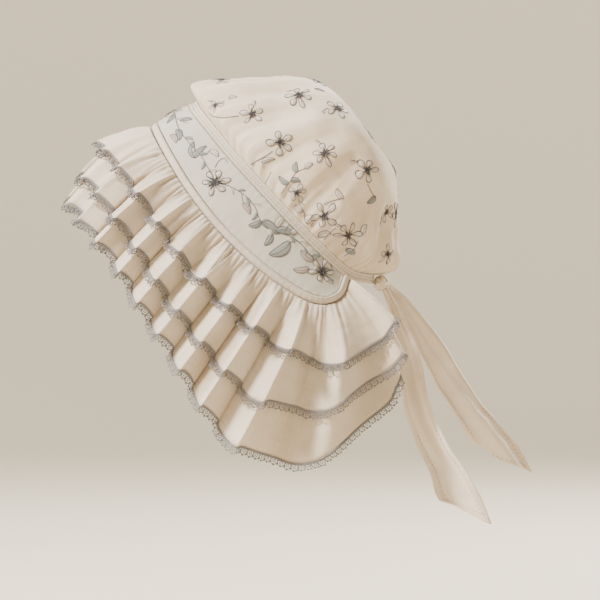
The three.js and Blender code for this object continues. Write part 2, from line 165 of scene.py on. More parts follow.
def stacked(*columns):
    return np.stack(np.broadcast_arrays(*columns), axis=-1).astype(float)


def scaled(v, size):
    return v * np.asarray(size, dtype=float)[..., None]


def smoothstep(x, low, high):
    t = np.clip((x - low) / (high - low), 0, 1)
    return t * t * (3 - 2 * t)


def valueAt(rows, column, place, rounded=False):
    key, value = rows["key"], rows[column]
    slope = np.empty_like(value)
    slope[1:-1] = (value[2:] - value[:-2]) / (key[2:] - key[:-2])
    slope[0] = 0 if rounded else (value[1] - value[0]) / (key[1] - key[0])
    slope[-1] = (value[-1] - value[-2]) / (key[-1] - key[-2])
    place = np.asarray(place, dtype=float)
    i = np.searchsorted(key[1:-1], place)
    span = key[i + 1] - key[i]
    t = np.clip((place - key[i]) / span, 0, 1)
    return (
        (2 * t**3 - 3 * t**2 + 1) * value[i]
        + (t**3 - 2 * t**2 + t) * span * slope[i]
        + (3 * t**2 - 2 * t**3) * value[i + 1]
        + (t**3 - t**2) * span * slope[i + 1]
    )


def bend(start, control, end, t):
    return scaled(start, (1 - t) ** 2) + scaled(control, 2 * t * (1 - t)) + scaled(end, t * t)


def softNoise(points, wavelength, seed):
    # A smooth uneven value from -1 to 1 that changes over about one wavelength
    chance = np.random.default_rng(seed)
    total = 0
    for _ in range(7):
        direction = unit(chance.normal(size=3))
        length = wavelength * chance.uniform(0.6, 1.6)
        total = total + np.sin(points @ direction * fullTurn / length + chance.uniform(0, fullTurn))
    return total / 3.5


# The seam, the front edge, the crown and the ruffles as surfaces

def seamPoint(angle):
    return stacked(
        valueAt(seamRows, "x", angle),
        valueAt(seamRows, "y", angle, True),
        valueAt(seamRows, "z", angle, True),
    )


def seamFrame(angle):
    angle = np.asarray(angle, dtype=float)
    tangent = unit(seamPoint(np.minimum(angle + 1, 180)) - seamPoint(np.maximum(angle - 1, 0)))
    tangent = np.where((angle < 1)[..., None], [1.0, 0, 0], tangent)
    tangent = np.where((angle > 179)[..., None], [-1.0, 0, 0], tangent)
    dip = np.radians(valueAt(seamRows, "dip", angle))
    splay = np.radians(valueAt(seamRows, "splay", angle))
    lean = stacked(np.sin(splay), -np.cos(splay) * np.cos(dip), -np.cos(splay) * np.sin(dip))
    out = crossed(lean, tangent)
    return tangent, out, crossed(tangent, out)


def frontPoint(at):
    return stacked(
        valueAt(frontRows, "x", at),
        valueAt(frontRows, "y", at, True),
        valueAt(frontRows, "z", at, True),
    )


loopTop, loopNape = seamPoint(0), seamPoint(180)
loopMiddle = (loopTop + loopNape) / 2
loopLength = np.linalg.norm(loopNape - loopTop) / 2
loopAxis = unit(loopNape - loopTop)
loopWidth = seamRows["x"].max()


def frontFrame(at):
    at = np.asarray(at, dtype=float)
    near = 0.01
    tangent = frontPoint(np.minimum(at + near, 1)) - frontPoint(np.maximum(at - near, 0))
    tangent = unit(np.where((at < near)[..., None], [1.0, 0, 0], tangent))
    point = frontPoint(at)
    down = (point - loopMiddle) @ loopAxis
    outward = scaled(np.broadcast_to(loopAxis, point.shape), down / loopLength**2)
    outward[..., 0] += point[..., 0] / loopWidth**2
    away = crossed(tangent, unit(outward))
    return tangent, away, crossed(away, tangent)


def mirrorX(points, side):
    return points * stacked(side, 1, 1)


def bothSides(function, place, *more):
    # A surface that is given for the wearer's left, at places from -1 on the right to 1 on the left
    side = np.where(np.asarray(place) < 0, -1.0, 1.0)
    return mirrorX(function(np.abs(place), *more), side)


def hoopPoint(turn, at):
    row = {name: valueAt(crownRows, name, at) for name in ("topY", "topZ", "lowY", "lowZ", "halfWidth")}
    share = (1 - np.cos(turn)) / 2
    return stacked(
        np.sin(turn) * row["halfWidth"],
        row["topY"] + (row["lowY"] - row["topY"]) * share,
        row["topZ"] + (row["lowZ"] - row["topZ"]) * share,
    )


def crownEdge(turn):
    turn = np.mod(turn, fullTurn)
    side = np.where(turn > math.pi, -1.0, 1.0)
    angle = np.degrees(np.where(side > 0, turn, fullTurn - turn))
    behind = casing["width"] / 2 + clearance + crownWall / 2
    _, _, across = seamFrame(angle)
    return mirrorX(seamPoint(angle) - across * behind, side)


crownLook = {
    "pleats": 58,  # fine gathers round the edge
    "pleatDepth": 1.15,
    "pleatReach": 0.15,
    "edgePleat": 0.2,  # how much of the gathers is left where the cloth goes into the casing
    "edgeReach": 0.04,
    "napeMore": 1.1,  # how much deeper the gathers are at the nape and on top
    "topMore": 0.5,
    "wander": 2.2,
    "between": 0.35,  # smaller gathers between the others
    "betweenCount": 2.37,
    "tuckIn": 1.2,  # how far the edge is drawn in to the casing
    "tuckReach": 0.025,
    "tuckFrom": 0.06,
    "crumple": 1.5,
    "crumpleSize": 46,
    "crumpleLift": 0.8,
    "crumpleSeed": 3,
    "rumple": 0.3,
    "rumpleSize": 15,
    "rumpleSeed": 12,
}


def crownPleat(turn):
    wander = 0.5 * np.sin(3 * turn + 1) + 0.3 * np.sin(7 * turn)
    look = crownLook
    between = look["between"] * np.cos(look["betweenCount"] * look["pleats"] * turn)
    return np.cos(look["pleats"] * turn + look["wander"] * wander) + between


def crownPoint(turn, at):
    turn, at = np.broadcast_arrays(np.asarray(turn, dtype=float), np.asarray(at, dtype=float))
    point = hoopPoint(turn, at)
    seamShare = 1 - smoothstep(at, 0, seamReach)
    point = point + scaled(crownEdge(turn) - hoopPoint(turn, np.zeros_like(at)), seamShare)
    nape = smoothstep(-np.cos(turn), gathers["napeStart"], 1)
    depth = gathers["depth"] + (gathers["napeDepth"] - gathers["depth"]) * nape
    fade = np.sin(math.pi * np.minimum(at / gathers["reach"], 1)) ** gathers["rise"]
    middle = (hoopPoint(np.zeros_like(at), at) + hoopPoint(np.full_like(at, math.pi), at)) / 2
    outward = unit(point - middle)
    broad = depth * fade * np.cos(gathers["count"] * turn)
    look = crownLook
    opened = look["edgePleat"] + (1 - look["edgePleat"]) * smoothstep(at, 0, look["edgeReach"])
    fineFade = np.exp(-at / look["pleatReach"]) * opened
    top = smoothstep(np.cos(turn), 0.8, 1)
    deeper = 1 + look["napeMore"] * nape + look["topMore"] * top
    fine = look["pleatDepth"] * deeper * fineFade * crownPleat(turn)
    crumple = softNoise(point, look["crumpleSize"], look["crumpleSeed"])
    crumple = look["crumple"] * smoothstep(at, 0.05, 0.3) * crumple
    rumple = softNoise(point, look["rumpleSize"], look["rumpleSeed"])
    rumple = look["rumple"] * smoothstep(at, 0.02, 0.15) * rumple
    inward = unit(crownEdge(turn) - hoopPoint(turn, np.full_like(at, look["tuckFrom"])))
    tucked = look["tuckIn"] * (1 - smoothstep(at, 0, look["tuckReach"]))
    lift = broad + fine + crumple * look["crumpleLift"] + rumple
    return point + scaled(outward, lift) + scaled(inward, tucked)


def bandAcross(at, share):
    angle = valueAt(frontRows, "seam", at)
    seam, front = seamPoint(angle), frontPoint(at)
    _, _, across = seamFrame(angle)
    _, away, _ = frontFrame(at)
    start = seam + across * (casing["width"] / 2 + clearance)
    end = front - away * (binding["width"] + binding["inset"])
    reach = np.linalg.norm(seam - front, axis=-1) * bandShape["straight"]
    return bend(start, seam + scaled(across, reach), end, share)


def bandEnd(share):
    corner = bandShape["corner"]
    at = 1 - (1 - corner) * share
    inset = binding["width"] + binding["inset"]
    edge = frontPoint(at) - frontFrame(at)[1] * inset
    first = frontPoint(1) - frontFrame(1)[1] * inset
    return edge + scaled(np.broadcast_to(bandAcross(corner, 0.0) - first, edge.shape), 1 - share)


def bandPoint(place, share):
    place, share = np.broadcast_arrays(np.asarray(place, dtype=float), np.asarray(share, dtype=float))
    point = bandAcross(place * bandShape["corner"], share)
    bulge = bandEnd(share) - bandAcross(np.full_like(place, bandShape["corner"]), share)
    return point + scaled(bulge, smoothstep(place, bandShape["endStart"], 1))


def ruffleBase(ruffle, at, share):
    tangent, away, out = frontFrame(at)
    start = frontPoint(at) + away * clearance + out * ruffle["level"]
    swing = np.radians(valueAt(fallRows, "swing", at))
    flat = scaled(away, np.cos(swing)) + scaled(tangent, np.sin(swing))
    length = valueAt(fallRows, ruffle["columns"] + "Deep", at)
    spring = valueAt(fallRows, ruffle["columns"] + "Up", at)

    def toward(degrees):
        lift = np.radians(degrees)
        return scaled(flat, np.cos(lift)) + scaled(out, np.sin(lift))

    control = start + scaled(toward(spring + arch["degrees"]), length * arch["share"])
    return bend(start, control, start + scaled(toward(spring), length), share)


ruffleLook = {
    "overlap": 0.34,  # how far the folds roll over sideways
    "creases": 2.6,  # smaller folds to each large one
    "creaseDepth": 1.25,
    "tucks": 2.0,  # deep gathers at the binding to each large fold
    "tuckDepth": 2.3,
    "tuckReach": 24,
    "gathers": 6.0,  # fine gathers at the binding to each large fold
    "gatherDepth": 0.55,
    "gatherReach": 18,
    "rumple": 0.28,
    "rumpleSize": 17,
    "rumpleSeed": 21,
}


def tuckValley(turn):
    # Sharp narrow valleys between broad tops
    wave = np.cos(turn * ruffleLook["tucks"] / 2 + 0.7 + 0.35 * np.sin(turn * 0.71))
    return np.abs(wave) ** 0.45 * 2 - 1.45


def rufflePoint(ruffle, at, clothShare):
    at, clothShare = np.broadcast_arrays(np.asarray(at, dtype=float), np.asarray(clothShare, dtype=float))
    near = 0.01
    turn = folds["perSide"] * fullTurn * at
    length = valueAt(fallRows, ruffle["columns"] + "Deep", at)
    share = clothShare * (1 + folds["swag"] / length * np.cos(turn + folds["swagTurn"]))
    point = ruffleBase(ruffle, at, share)
    beside = ruffleBase(ruffle, np.minimum(at + near, 1), share)
    beside = beside - ruffleBase(ruffle, np.maximum(at - near, 0), share)
    beside = unit(np.where((at < near)[..., None], [1.0, 0, 0], beside))
    onward = ruffleBase(ruffle, at, share + near) - ruffleBase(ruffle, at, share - near)
    out = crossed(onward, beside)
    uneven = 1 + unevenness["share"] * np.sin(turn * unevenness["turns"] + unevenness["start"])
    distance = length * share
    depth = np.minimum(folds["growth"] * distance, folds["deepest"]) * uneven
    look = ruffleLook
    roll = -look["overlap"] * depth * np.sin(2 * turn + 0.4 * np.sin(turn * 0.53))
    roll = roll * smoothstep(1 - at, 0, 0.04)
    crease = np.cos(turn * look["creases"] + 2.1 * np.sin(turn * 0.61 + 2))
    creased = look["creaseDepth"] * smoothstep(distance, 6, 40) * crease
    gather = np.cos(turn * look["gathers"] + 1.6 * np.sin(turn * 0.83)) + 0.3 * np.cos(turn * 15.3 + 1)
    growing = 0.5 + smoothstep(distance, 0, 8)
    gathered = look["gatherDepth"] * growing * np.exp(-distance / look["gatherReach"]) * gather
    tucked = look["tuckDepth"] * smoothstep(distance, -2, 9) * np.exp(-distance / look["tuckReach"])
    tucked = tucked * tuckValley(turn)
    rumple = softNoise(point, look["rumpleSize"], look["rumpleSeed"])
    rumple = look["rumple"] * smoothstep(distance, 2, 15) * rumple
    lift = depth * np.cos(turn) + creased + gathered + tucked + rumple
    return point + scaled(out, lift) + scaled(beside, roll)


def tiePoint(rows, at, share):
    row = {name: valueAt(rows, name, at) for name in ("x", "y", "z", "width", "slant", "turn")}
    slant, turned = np.radians(row["slant"]), np.radians(row["turn"])
    across = stacked(np.sin(turned), np.cos(turned) * np.cos(slant), np.cos(turned) * np.sin(slant))
    return stacked(row["x"], row["y"], row["z"]) + scaled(across, (share - 0.5) * row["width"])


# Meshes

def makeObject(name, points, faces, materials, uv=None, faceMaterials=None):
    mesh = bpy.data.meshes.new(name)
    mesh.from_pydata((np.asarray(points) * mm).tolist(), [], [list(map(int, f)) for f in faces])
    for material in materials:
        mesh.materials.append(material)
    if uv is not None:
        layer = mesh.uv_layers.new(name="cloth")
        corner = np.empty(len(mesh.loops), dtype=np.int32)
        mesh.loops.foreach_get("vertex_index", corner)
        layer.data.foreach_set("uv", (np.asarray(uv)[corner] * mm).astype(np.float32).ravel())
    if faceMaterials is not None:
        mesh.polygons.foreach_set("material_index", np.asarray(faceMaterials, dtype=np.int32))
    mesh.polygons.foreach_set("use_smooth", np.ones(len(mesh.polygons), dtype=bool))
    mesh.update()
    made = bpy.data.objects.new(name, mesh)
    bpy.context.scene.collection.objects.link(made)
    return made


def gridFaces(rows, columns, ring=False):
    r, c = np.meshgrid(np.arange(rows - 1), np.arange(columns if ring else columns - 1), indexing="ij")
    after = (c + 1) % columns
    row, nextRow = r * columns, (r + 1) * columns
    return np.stack([row + c, row + after, nextRow + after, nextRow + c], axis=-1).reshape(-1, 4)


def gridUv(grid):
    # Distances over the cloth, so that the weave has one size all over
    alongSteps = np.linalg.norm(np.diff(grid, axis=1), axis=-1).mean(axis=0)
    acrossSteps = np.linalg.norm(np.diff(grid, axis=0), axis=-1).mean(axis=1)
    alongAt = np.concatenate([[0], np.cumsum(alongSteps)])
    acrossAt = np.concatenate([[0], np.cumsum(acrossSteps)])
    u, v = np.meshgrid(alongAt, acrossAt)
    return np.stack([u, v], axis=-1).reshape(-1, 2)


def sweep(name, centres, outs, acrosses, section, material, closed):
    # A solid strip: the section's points are (across, out), in millimetres
    section = np.asarray(section, dtype=float)
    points = (
        centres[:, None]
        + acrosses[:, None] * section[None, :, :1]
        + outs[:, None] * section[None, :, 1:]
    )
    count, sides = points.shape[:2]
    if closed:
        points = np.concatenate([points, points[:1]])
    rows = count + (1 if closed else 0)
    faces = gridFaces(rows, sides, ring=True)
    if closed:
        faces = np.where(faces >= count * sides, faces - count * sides, faces)
        flat = points[:-1].reshape(-1, 3)
        uv = gridUv(points)[: count * sides]
        return makeObject(name, flat, faces, [material], uv)
    allFaces = [list(f) for f in faces]
    allFaces += [list(range(sides))[::-1], [(count - 1) * sides + k for k in range(sides)]]
    return makeObject(name, points.reshape(-1, 3), allFaces, [material], gridUv(points))


def outward(piece):
    # Recalculates the normals of a closed piece so that they point out
    work = bmesh.new()
    work.from_mesh(piece.data)
    bmesh.ops.recalc_face_normals(work, faces=work.faces)
    work.to_mesh(piece.data)
    work.free()
    return piece


# Materials

def addNode(tree, kind, inputs=None, **settings):
    node = tree.nodes.new(kind)
    for name, value in settings.items():
        setattr(node, name, value)
    for name, value in (inputs or {}).items():
        if isinstance(value, bpy.types.NodeSocket):
            tree.links.new(value, node.inputs[name])
        else:
            node.inputs[name].default_value = value
    return node


def mathNode(tree, operation, first, second=None):
    node = tree.nodes.new("ShaderNodeMath")
    node.operation = operation
    for i, value in enumerate((first, second)):
        if isinstance(value, bpy.types.NodeSocket):
            tree.links.new(value, node.inputs[i])
        elif value is not None:
            node.inputs[i].default_value = value
    return node.outputs[0]


def makeGroup(name, inputs, outputs):
    tree = bpy.data.node_groups.new(name, "ShaderNodeTree")
    for label, kind, value in inputs:
        socket = tree.interface.new_socket(label, in_out="INPUT", socket_type=kind)
        socket.default_value = value
    for label, kind in outputs:
        tree.interface.new_socket(label, in_out="OUTPUT", socket_type=kind)
    return tree, tree.nodes.new("NodeGroupInput"), tree.nodes.new("NodeGroupOutput")


def plainWeave():
    # Threads that go over and under each other, with thick places here and there
    tree, given, result = makeGroup(
        "plainWeave",
        [
            ("Cloth", "NodeSocketVector", (0, 0, 0)),
            ("Threads", "NodeSocketFloat", 1300.0),
            ("Slubs", "NodeSocketFloat", 0.5),
        ],
        [("Height", "NodeSocketFloat"), ("Slub", "NodeSocketFloat")],
    )
    split = addNode(tree, "ShaderNodeSeparateXYZ", {"Vector": given.outputs["Cloth"]})
    waves = []
    for axis in ("X", "Y"):
        phase = mathNode(tree, "MULTIPLY", split.outputs[axis], given.outputs["Threads"])
        waves.append(mathNode(tree, "SINE", mathNode(tree, "MULTIPLY", phase, math.pi)))
    warp = mathNode(tree, "ABSOLUTE", waves[0])
    weft = mathNode(tree, "ABSOLUTE", waves[1])
    over = mathNode(tree, "GREATER_THAN", mathNode(tree, "MULTIPLY", waves[0], waves[1]), 0.0)
    woven = addNode(tree, "ShaderNodeMix", {"Factor": over, "A": warp, "B": weft}, data_type="FLOAT")
    slubs = []
    for stretch in ((40, 900, 1), (900, 40, 1)):
        turned = addNode(tree, "ShaderNodeMapping", {"Vector": given.outputs["Cloth"], "Scale": stretch})
        noise = addNode(tree, "ShaderNodeTexNoise", {
            "Vector": turned.outputs[0], "Scale": 1.0, "Detail": 2.0,
        })
        slubs.append(noise.outputs["Fac"])
    slub = mathNode(tree, "MAXIMUM", *slubs)
    lifted = mathNode(tree, "MULTIPLY", slub, given.outputs["Slubs"])
    tree.links.new(mathNode(tree, "ADD", woven.outputs["Result"], lifted), result.inputs["Height"])
    tree.links.new(slub, result.inputs["Slub"])
    return tree


def foldShadeAndTone():
    # Painted shade deep in the folds, from the fold attribute, and a tone that is not quite even anywhere,
    # from patches and slubs
    tree, given, result = makeGroup(
        "foldShadeAndTone",
        [
            ("Light", "NodeSocketColor", (1, 1, 1, 1)),
            ("Deep", "NodeSocketColor", (1, 1, 1, 1)),
            ("Fold", "NodeSocketFloat", 0.0),
            ("Slub", "NodeSocketFloat", 0.5),
            ("Patches", "NodeSocketFloat", 16.0),
        ],
        [("Color", "NodeSocketColor")],
    )
    place = addNode(tree, "ShaderNodeTexCoord")
    patches = addNode(tree, "ShaderNodeTexNoise", {
        "Vector": place.outputs["Object"], "Scale": given.outputs["Patches"],
        "Detail": 3.0, "Roughness": 0.55,
    })
    patch = addNode(tree, "ShaderNodeMapRange", {
        "Value": patches.outputs["Fac"], "From Min": 0.35, "From Max": 0.7, "To Min": 0.0, "To Max": 0.55,
    })
    slub = addNode(tree, "ShaderNodeMapRange", {
        "Value": given.outputs["Slub"], "From Min": 0.45, "From Max": 0.8, "To Min": 0.0, "To Max": 0.35,
    })
    # Painted shade: the fold attribute mixes the colour toward the deep colour in the folds
    folded = mathNode(tree, "ADD", patch.outputs[0], given.outputs["Fold"])
    deep = mathNode(tree, "ADD", folded, slub.outputs[0])
    share = addNode(tree, "ShaderNodeClamp", {"Value": deep})
    mixed = addNode(tree, "ShaderNodeMix", data_type="RGBA")
    tree.links.new(share.outputs[0], mixed.inputs["Factor"])
    tree.links.new(given.outputs["Light"], mixed.inputs[6])
    tree.links.new(given.outputs["Deep"], mixed.inputs[7])
    tree.links.new(mixed.outputs[2], result.inputs["Color"])
    return tree


weaveGroup = plainWeave()
toneGroup = foldShadeAndTone()


def principled(name, roughness, sheen=0.0):
    material = bpy.data.materials.new(name)
    material.use_nodes = True
    shader = material.node_tree.nodes["Principled BSDF"]
    shader.inputs["Roughness"].default_value = roughness
    shader.inputs["Sheen Weight"].default_value = sheen
    shader.inputs["Sheen Roughness"].default_value = 0.45
    shader.inputs["Specular IOR Level"].default_value = 0.25
    return material, material.node_tree, shader


def clothMaterial(
    name, light, deep, threads, weaveDepth, roughness=0.88, sheen=0.18, glow=0.0, creases=0.0006,
):
    # threads to the metre, and the depths of weave and creases in metres
    material, tree, shader = principled(name, roughness, sheen)
    uv = addNode(tree, "ShaderNodeUVMap", uv_map="cloth")
    weave = addNode(tree, "ShaderNodeGroup", node_tree=weaveGroup)
    tree.links.new(uv.outputs[0], weave.inputs["Cloth"])
    weave.inputs["Threads"].default_value = threads
    # Painted shade: the fold attribute darkens each cloth toward its deep colour in its folds
    fold = addNode(tree, "ShaderNodeAttribute", attribute_name="fold")
    tone = addNode(tree, "ShaderNodeGroup", node_tree=toneGroup)
    tone.inputs["Light"].default_value = (*light, 1)
    tone.inputs["Deep"].default_value = (*deep, 1)
    tree.links.new(fold.outputs["Fac"], tone.inputs["Fold"])
    tree.links.new(weave.outputs["Slub"], tone.inputs["Slub"])
    tree.links.new(tone.outputs["Color"], shader.inputs["Base Color"])
    place = addNode(tree, "ShaderNodeTexCoord")
    crease = addNode(tree, "ShaderNodeTexNoise", {
        "Vector": place.outputs["Object"], "Scale": 95.0,
        "Detail": 4.0, "Roughness": 0.5, "Distortion": 0.6,
    })
    creased = addNode(tree, "ShaderNodeBump", {
        "Strength": 0.6, "Distance": creases, "Height": crease.outputs["Fac"],
    })
    woven = addNode(tree, "ShaderNodeBump", {
        "Strength": 0.5, "Distance": weaveDepth,
        "Height": weave.outputs["Height"], "Normal": creased.outputs["Normal"],
    })
    tree.links.new(woven.outputs["Normal"], shader.inputs["Normal"])
    if glow:
        shader.inputs["Subsurface Weight"].default_value = glow
        shader.inputs["Subsurface Radius"].default_value = (1.0, 0.8, 0.6)
        shader.inputs["Subsurface Scale"].default_value = 0.004
    return material


def threadMaterial(name, light, deep, twist, roughness=0.6, sheen=0.3):
    # Cotton thread: fine diagonal plies and an uneven tone
    material, tree, shader = principled(name, roughness, sheen)
    place = addNode(tree, "ShaderNodeTexCoord")
    plies = addNode(tree, "ShaderNodeTexWave", {
        "Vector": place.outputs["Object"], "Scale": twist, "Distortion": 3.0, "Detail": 1.0,
    }, bands_direction="DIAGONAL")
    tone = addNode(tree, "ShaderNodeTexNoise", {
        "Vector": place.outputs["Object"], "Scale": 60.0, "Detail": 2.0,
    })
    mixed = addNode(tree, "ShaderNodeMix", data_type="RGBA")
    mixed.inputs[6].default_value = (*light, 1)
    mixed.inputs[7].default_value = (*deep, 1)
    tree.links.new(tone.outputs["Fac"], mixed.inputs["Factor"])
    tree.links.new(mixed.outputs[2], shader.inputs["Base Color"])
    bump = addNode(tree, "ShaderNodeBump", {
        "Strength": 0.4, "Distance": 0.0002, "Height": plies.outputs["Fac"],
    })
    tree.links.new(bump.outputs["Normal"], shader.inputs["Normal"])
    return material


# Each cloth's deep colour is its painted fold shade and also the tone of its darker patches
crownMuslin = clothMaterial(
    "crownMuslin", (0.61, 0.51, 0.395), (0.50, 0.385, 0.26), 1300, 0.00012, glow=0.04,
)
ruffleMuslin = clothMaterial(
    "ruffleMuslin", (0.62, 0.525, 0.415), (0.45, 0.35, 0.245), 1300, 0.00012, glow=0.04,
)
bandMuslin = clothMaterial(
    "bandMuslin", (0.495, 0.45, 0.372), (0.38, 0.342, 0.28), 1100, 0.00016,
)
tapeMuslin = clothMaterial(
    "tapeMuslin", (0.55, 0.47, 0.375), (0.40, 0.325, 0.24), 1000, 0.0002, creases=0.0003,
)
# Painted light: the ties' and knot's muslin is lighter than the crown's to make up for the ties' shade in the
# main view
tieMuslinPaintedLighter = clothMaterial(
    "tieMuslinPaintedLighter", (0.67, 0.58, 0.47), (0.55, 0.44, 0.32), 1400, 0.00011, roughness=0.8, sheen=0.2, glow=0.04,
)
laceThread = threadMaterial(
    "laceThread", (0.22, 0.195, 0.18), (0.125, 0.113, 0.113), 900,
)
satinThread = threadMaterial(
    "satinThread", (0.54, 0.46, 0.38), (0.44, 0.37, 0.30), 1400, roughness=0.45, sheen=0.3,
)
outlineThread = threadMaterial(
    "outlineThread", (0.125, 0.105, 0.097), (0.08, 0.069, 0.066), 1200, sheen=0.08,
)
darkThread = threadMaterial(
    "darkThread", (0.03, 0.026, 0.029), (0.014, 0.012, 0.015), 1200, sheen=0.03,
)
leafThread = threadMaterial(
    "leafThread", (0.255, 0.255, 0.22), (0.165, 0.17, 0.15), 1300, roughness=0.5, sheen=0.12,
)
roseThread = threadMaterial(
    "roseThread", (0.40, 0.315, 0.27), (0.31, 0.24, 0.205), 1300, roughness=0.5, sheen=0.15,
)
sewingThread = threadMaterial(
    "sewingThread", (0.22, 0.195, 0.172), (0.15, 0.132, 0.118), 1500, sheen=0.08,
)
print("materials made")


# The camera, lights and floor

shot = {
    "distance": 3.4,
    "width": 0.585,  # how much of the object's height and width the frame takes in
    "middle": (0.0, 0.099, -0.181),
    "sensor": 36,
    "lowest": -0.395,
    "floorDrop": 0.12,
    "room": 4.2,
    "cove": 1.6,
    "roomHeight": 4.5,
}


def aim(thing, target):
    thing.rotation_euler = (Vector(target) - thing.location).to_track_quat("-Z", "Y").to_euler()


camera = bpy.data.objects.new("camera", bpy.data.cameras.new("camera"))
camera.location = (shot["middle"][0] + shot["distance"], shot["middle"][1], shot["middle"][2])
camera.data.sensor_width = shot["sensor"]
camera.data.sensor_height = shot["sensor"]
camera.data.sensor_fit = "HORIZONTAL"
camera.data.lens = shot["sensor"] * shot["distance"] / shot["width"]
camera.data.clip_end = 50
bpy.context.scene.collection.objects.link(camera)
aim(camera, shot["middle"])
bpy.context.scene.camera = camera

for name, place, size, power in (
    ("keyLight", (1.2, -1.8, 1.9), 0.5, 330),
    ("fillLight", (2.2, 1.8, 0.2), 1.8, 8),
    ("backLight", (-1.9, 1.5, 1.6), 0.8, 190),
    ("frontFill", (-1.2, -2.2, -0.1), 1.6, 14),
):
    light = bpy.data.objects.new(name, bpy.data.lights.new(name, "AREA"))
    light.data.shape = "DISK"
    light.data.size = size
    light.data.energy = power
    light.location = place
    aim(light, shot["middle"])
    bpy.context.scene.collection.objects.link(light)

paperTone = (0.80, 0.71, 0.55)
sky = bpy.data.worlds.new("softSky")
sky.use_nodes = True
sky.node_tree.nodes["Background"].inputs["Color"].default_value = (*paperTone, 1)
sky.node_tree.nodes["Background"].inputs["Strength"].default_value = 0.38
bpy.context.scene.world = sky

floorMaterial, _, floorShader = principled("paleFloor", 0.9)
floorShader.inputs["Base Color"].default_value = (0.55, 0.485, 0.37, 1)
floorShader.inputs["Emission Color"].default_value = (*paperTone, 1)
floorShader.inputs["Emission Strength"].default_value = 0.55
# A pale floor that rises into a round backdrop
turnSteps, rise = 72, 12
floorZ = shot["lowest"] - shot["floorDrop"]
profile = [(0.0, 0.0)] + [
    (shot["room"] + shot["cove"] * math.sin(a), shot["cove"] * (1 - math.cos(a)))
    for a in np.linspace(0, math.pi / 2, rise)
] + [(shot["room"] + shot["cove"], shot["roomHeight"])]
turn = np.arange(turnSteps) / turnSteps * fullTurn
ringPoints = np.array([
    [(r * math.cos(t), r * math.sin(t), floorZ + h) for t in turn] for r, h in profile[1:]
])
points = np.concatenate([[(0, 0, floorZ)], ringPoints.reshape(-1, 3)]) / mm
faces = [(0, 1 + c, 1 + (c + 1) % turnSteps) for c in range(turnSteps)]
faces += [tuple(q + 1) for q in gridFaces(len(profile) - 1, turnSteps, ring=True)[:, ::-1]]
floor = makeObject("floor", points, faces, [floorMaterial])
print("camera, lights and floor made")


# Cloth pieces as thin closed shells

def setFoldShade(piece, fold):
    # How far each point lies in a fold, where the materials paint shade by darkening it
    attribute = piece.data.attributes.new("fold", "FLOAT", "POINT")
    attribute.data.foreach_set("value", fold.astype(np.float32))


def shell(name, grid, thickness, materials, ring=False, pole=False, uv=None, fold=None):
    # The grid's points lie in the middle of the cloth. thickness is one number or one for each point.
    rows, columns = grid.shape[:2]
    beside = np.roll(grid, -1, axis=1) - np.roll(grid, 1, axis=1)
    if not ring:
        beside[:, 0] = grid[:, 1] - grid[:, 0]
        beside[:, -1] = grid[:, -1] - grid[:, -2]
    onward = np.empty_like(grid)
    onward[1:-1] = grid[2:] - grid[:-2]
    onward[0] = grid[1] - grid[0]
    onward[-1] = grid[-1] - grid[-2]
    facing = crossed(beside, onward)
    if pole:
        facing[-1] = unit(facing[-2].sum(axis=0))
    half = np.broadcast_to(np.asarray(thickness, dtype=float) / 2, (rows, columns))
    layers = [grid + scaled(facing, half), grid - scaled(facing, half)]
    uv = gridUv(grid) if uv is None else uv
    size = rows * columns
    quads = gridFaces(rows, columns, ring)
    if ring:
        edges = [[(r, c) for c in list(range(columns)) + [0]] for r in (0, rows - 1)]
    else:
        border = [(0, c) for c in range(columns)]
        border += [(r, columns - 1) for r in range(1, rows)]
        border += [(rows - 1, c) for c in range(columns - 2, -1, -1)]
        border += [(r, 0) for r in range(rows - 2, -1, -1)]
        edges = [border]
    faces = [list(q) for q in quads] + [list(q[::-1] + size) for q in quads]
    for which, edge in enumerate(edges):
        if pole and which:
            continue
        ids = [r * columns + c for r, c in edge]
        if which:
            ids = ids[::-1]
        faces += [[b, a, a + size, b + size] for a, b in zip(ids, ids[1:])]
    points = np.concatenate([layer.reshape(-1, 3) for layer in layers])
    if pole:
        # The last row is one point, so its quads become triangles and its other points go
        last = (rows - 1) * columns
        kept = np.ones(2 * size, dtype=bool)
        kept[last + 1: size] = False
        kept[size + last + 1:] = False
        stand = np.arange(2 * size)
        stand[last:size] = last
        stand[size + last:] = size + last
        number = np.cumsum(kept) - 1
        merged = []
        for face in faces:
            ids = []
            for vertex in face:
                vertex = number[stand[vertex]]
                if vertex not in ids:
                    ids.append(vertex)
            merged.append(ids)
        faces = merged
        points = points[kept]
        uv = np.concatenate([uv, uv])[kept]
        fold = None if fold is None else np.concatenate([fold.ravel(), fold.ravel()])[kept]
    else:
        uv = np.concatenate([uv, uv])
        fold = None if fold is None else np.concatenate([fold.ravel(), fold.ravel()])
    made = makeObject(name, points, faces, materials, uv)
    if fold is not None:
        setFoldShade(made, fold)
    return made


def finishPiece(piece, slotName, *nodes):
    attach(piece, "root")
    if nodes:
        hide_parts(*nodes)
    print(piece.name, "made with", sum(len(p.vertices) - 2 for p in piece.data.polygons), "triangles")


# Crown

crownGrid = {"around": 448, "outward": 84, "crowding": 1.25, "thickness": 0.7}
# Strengths of the painted shade on the crown
crownShade = {"gather": 0.28, "pleat": 0.8, "pleatReach": 0.055, "seam": 0.25, "seamReach": 0.02}

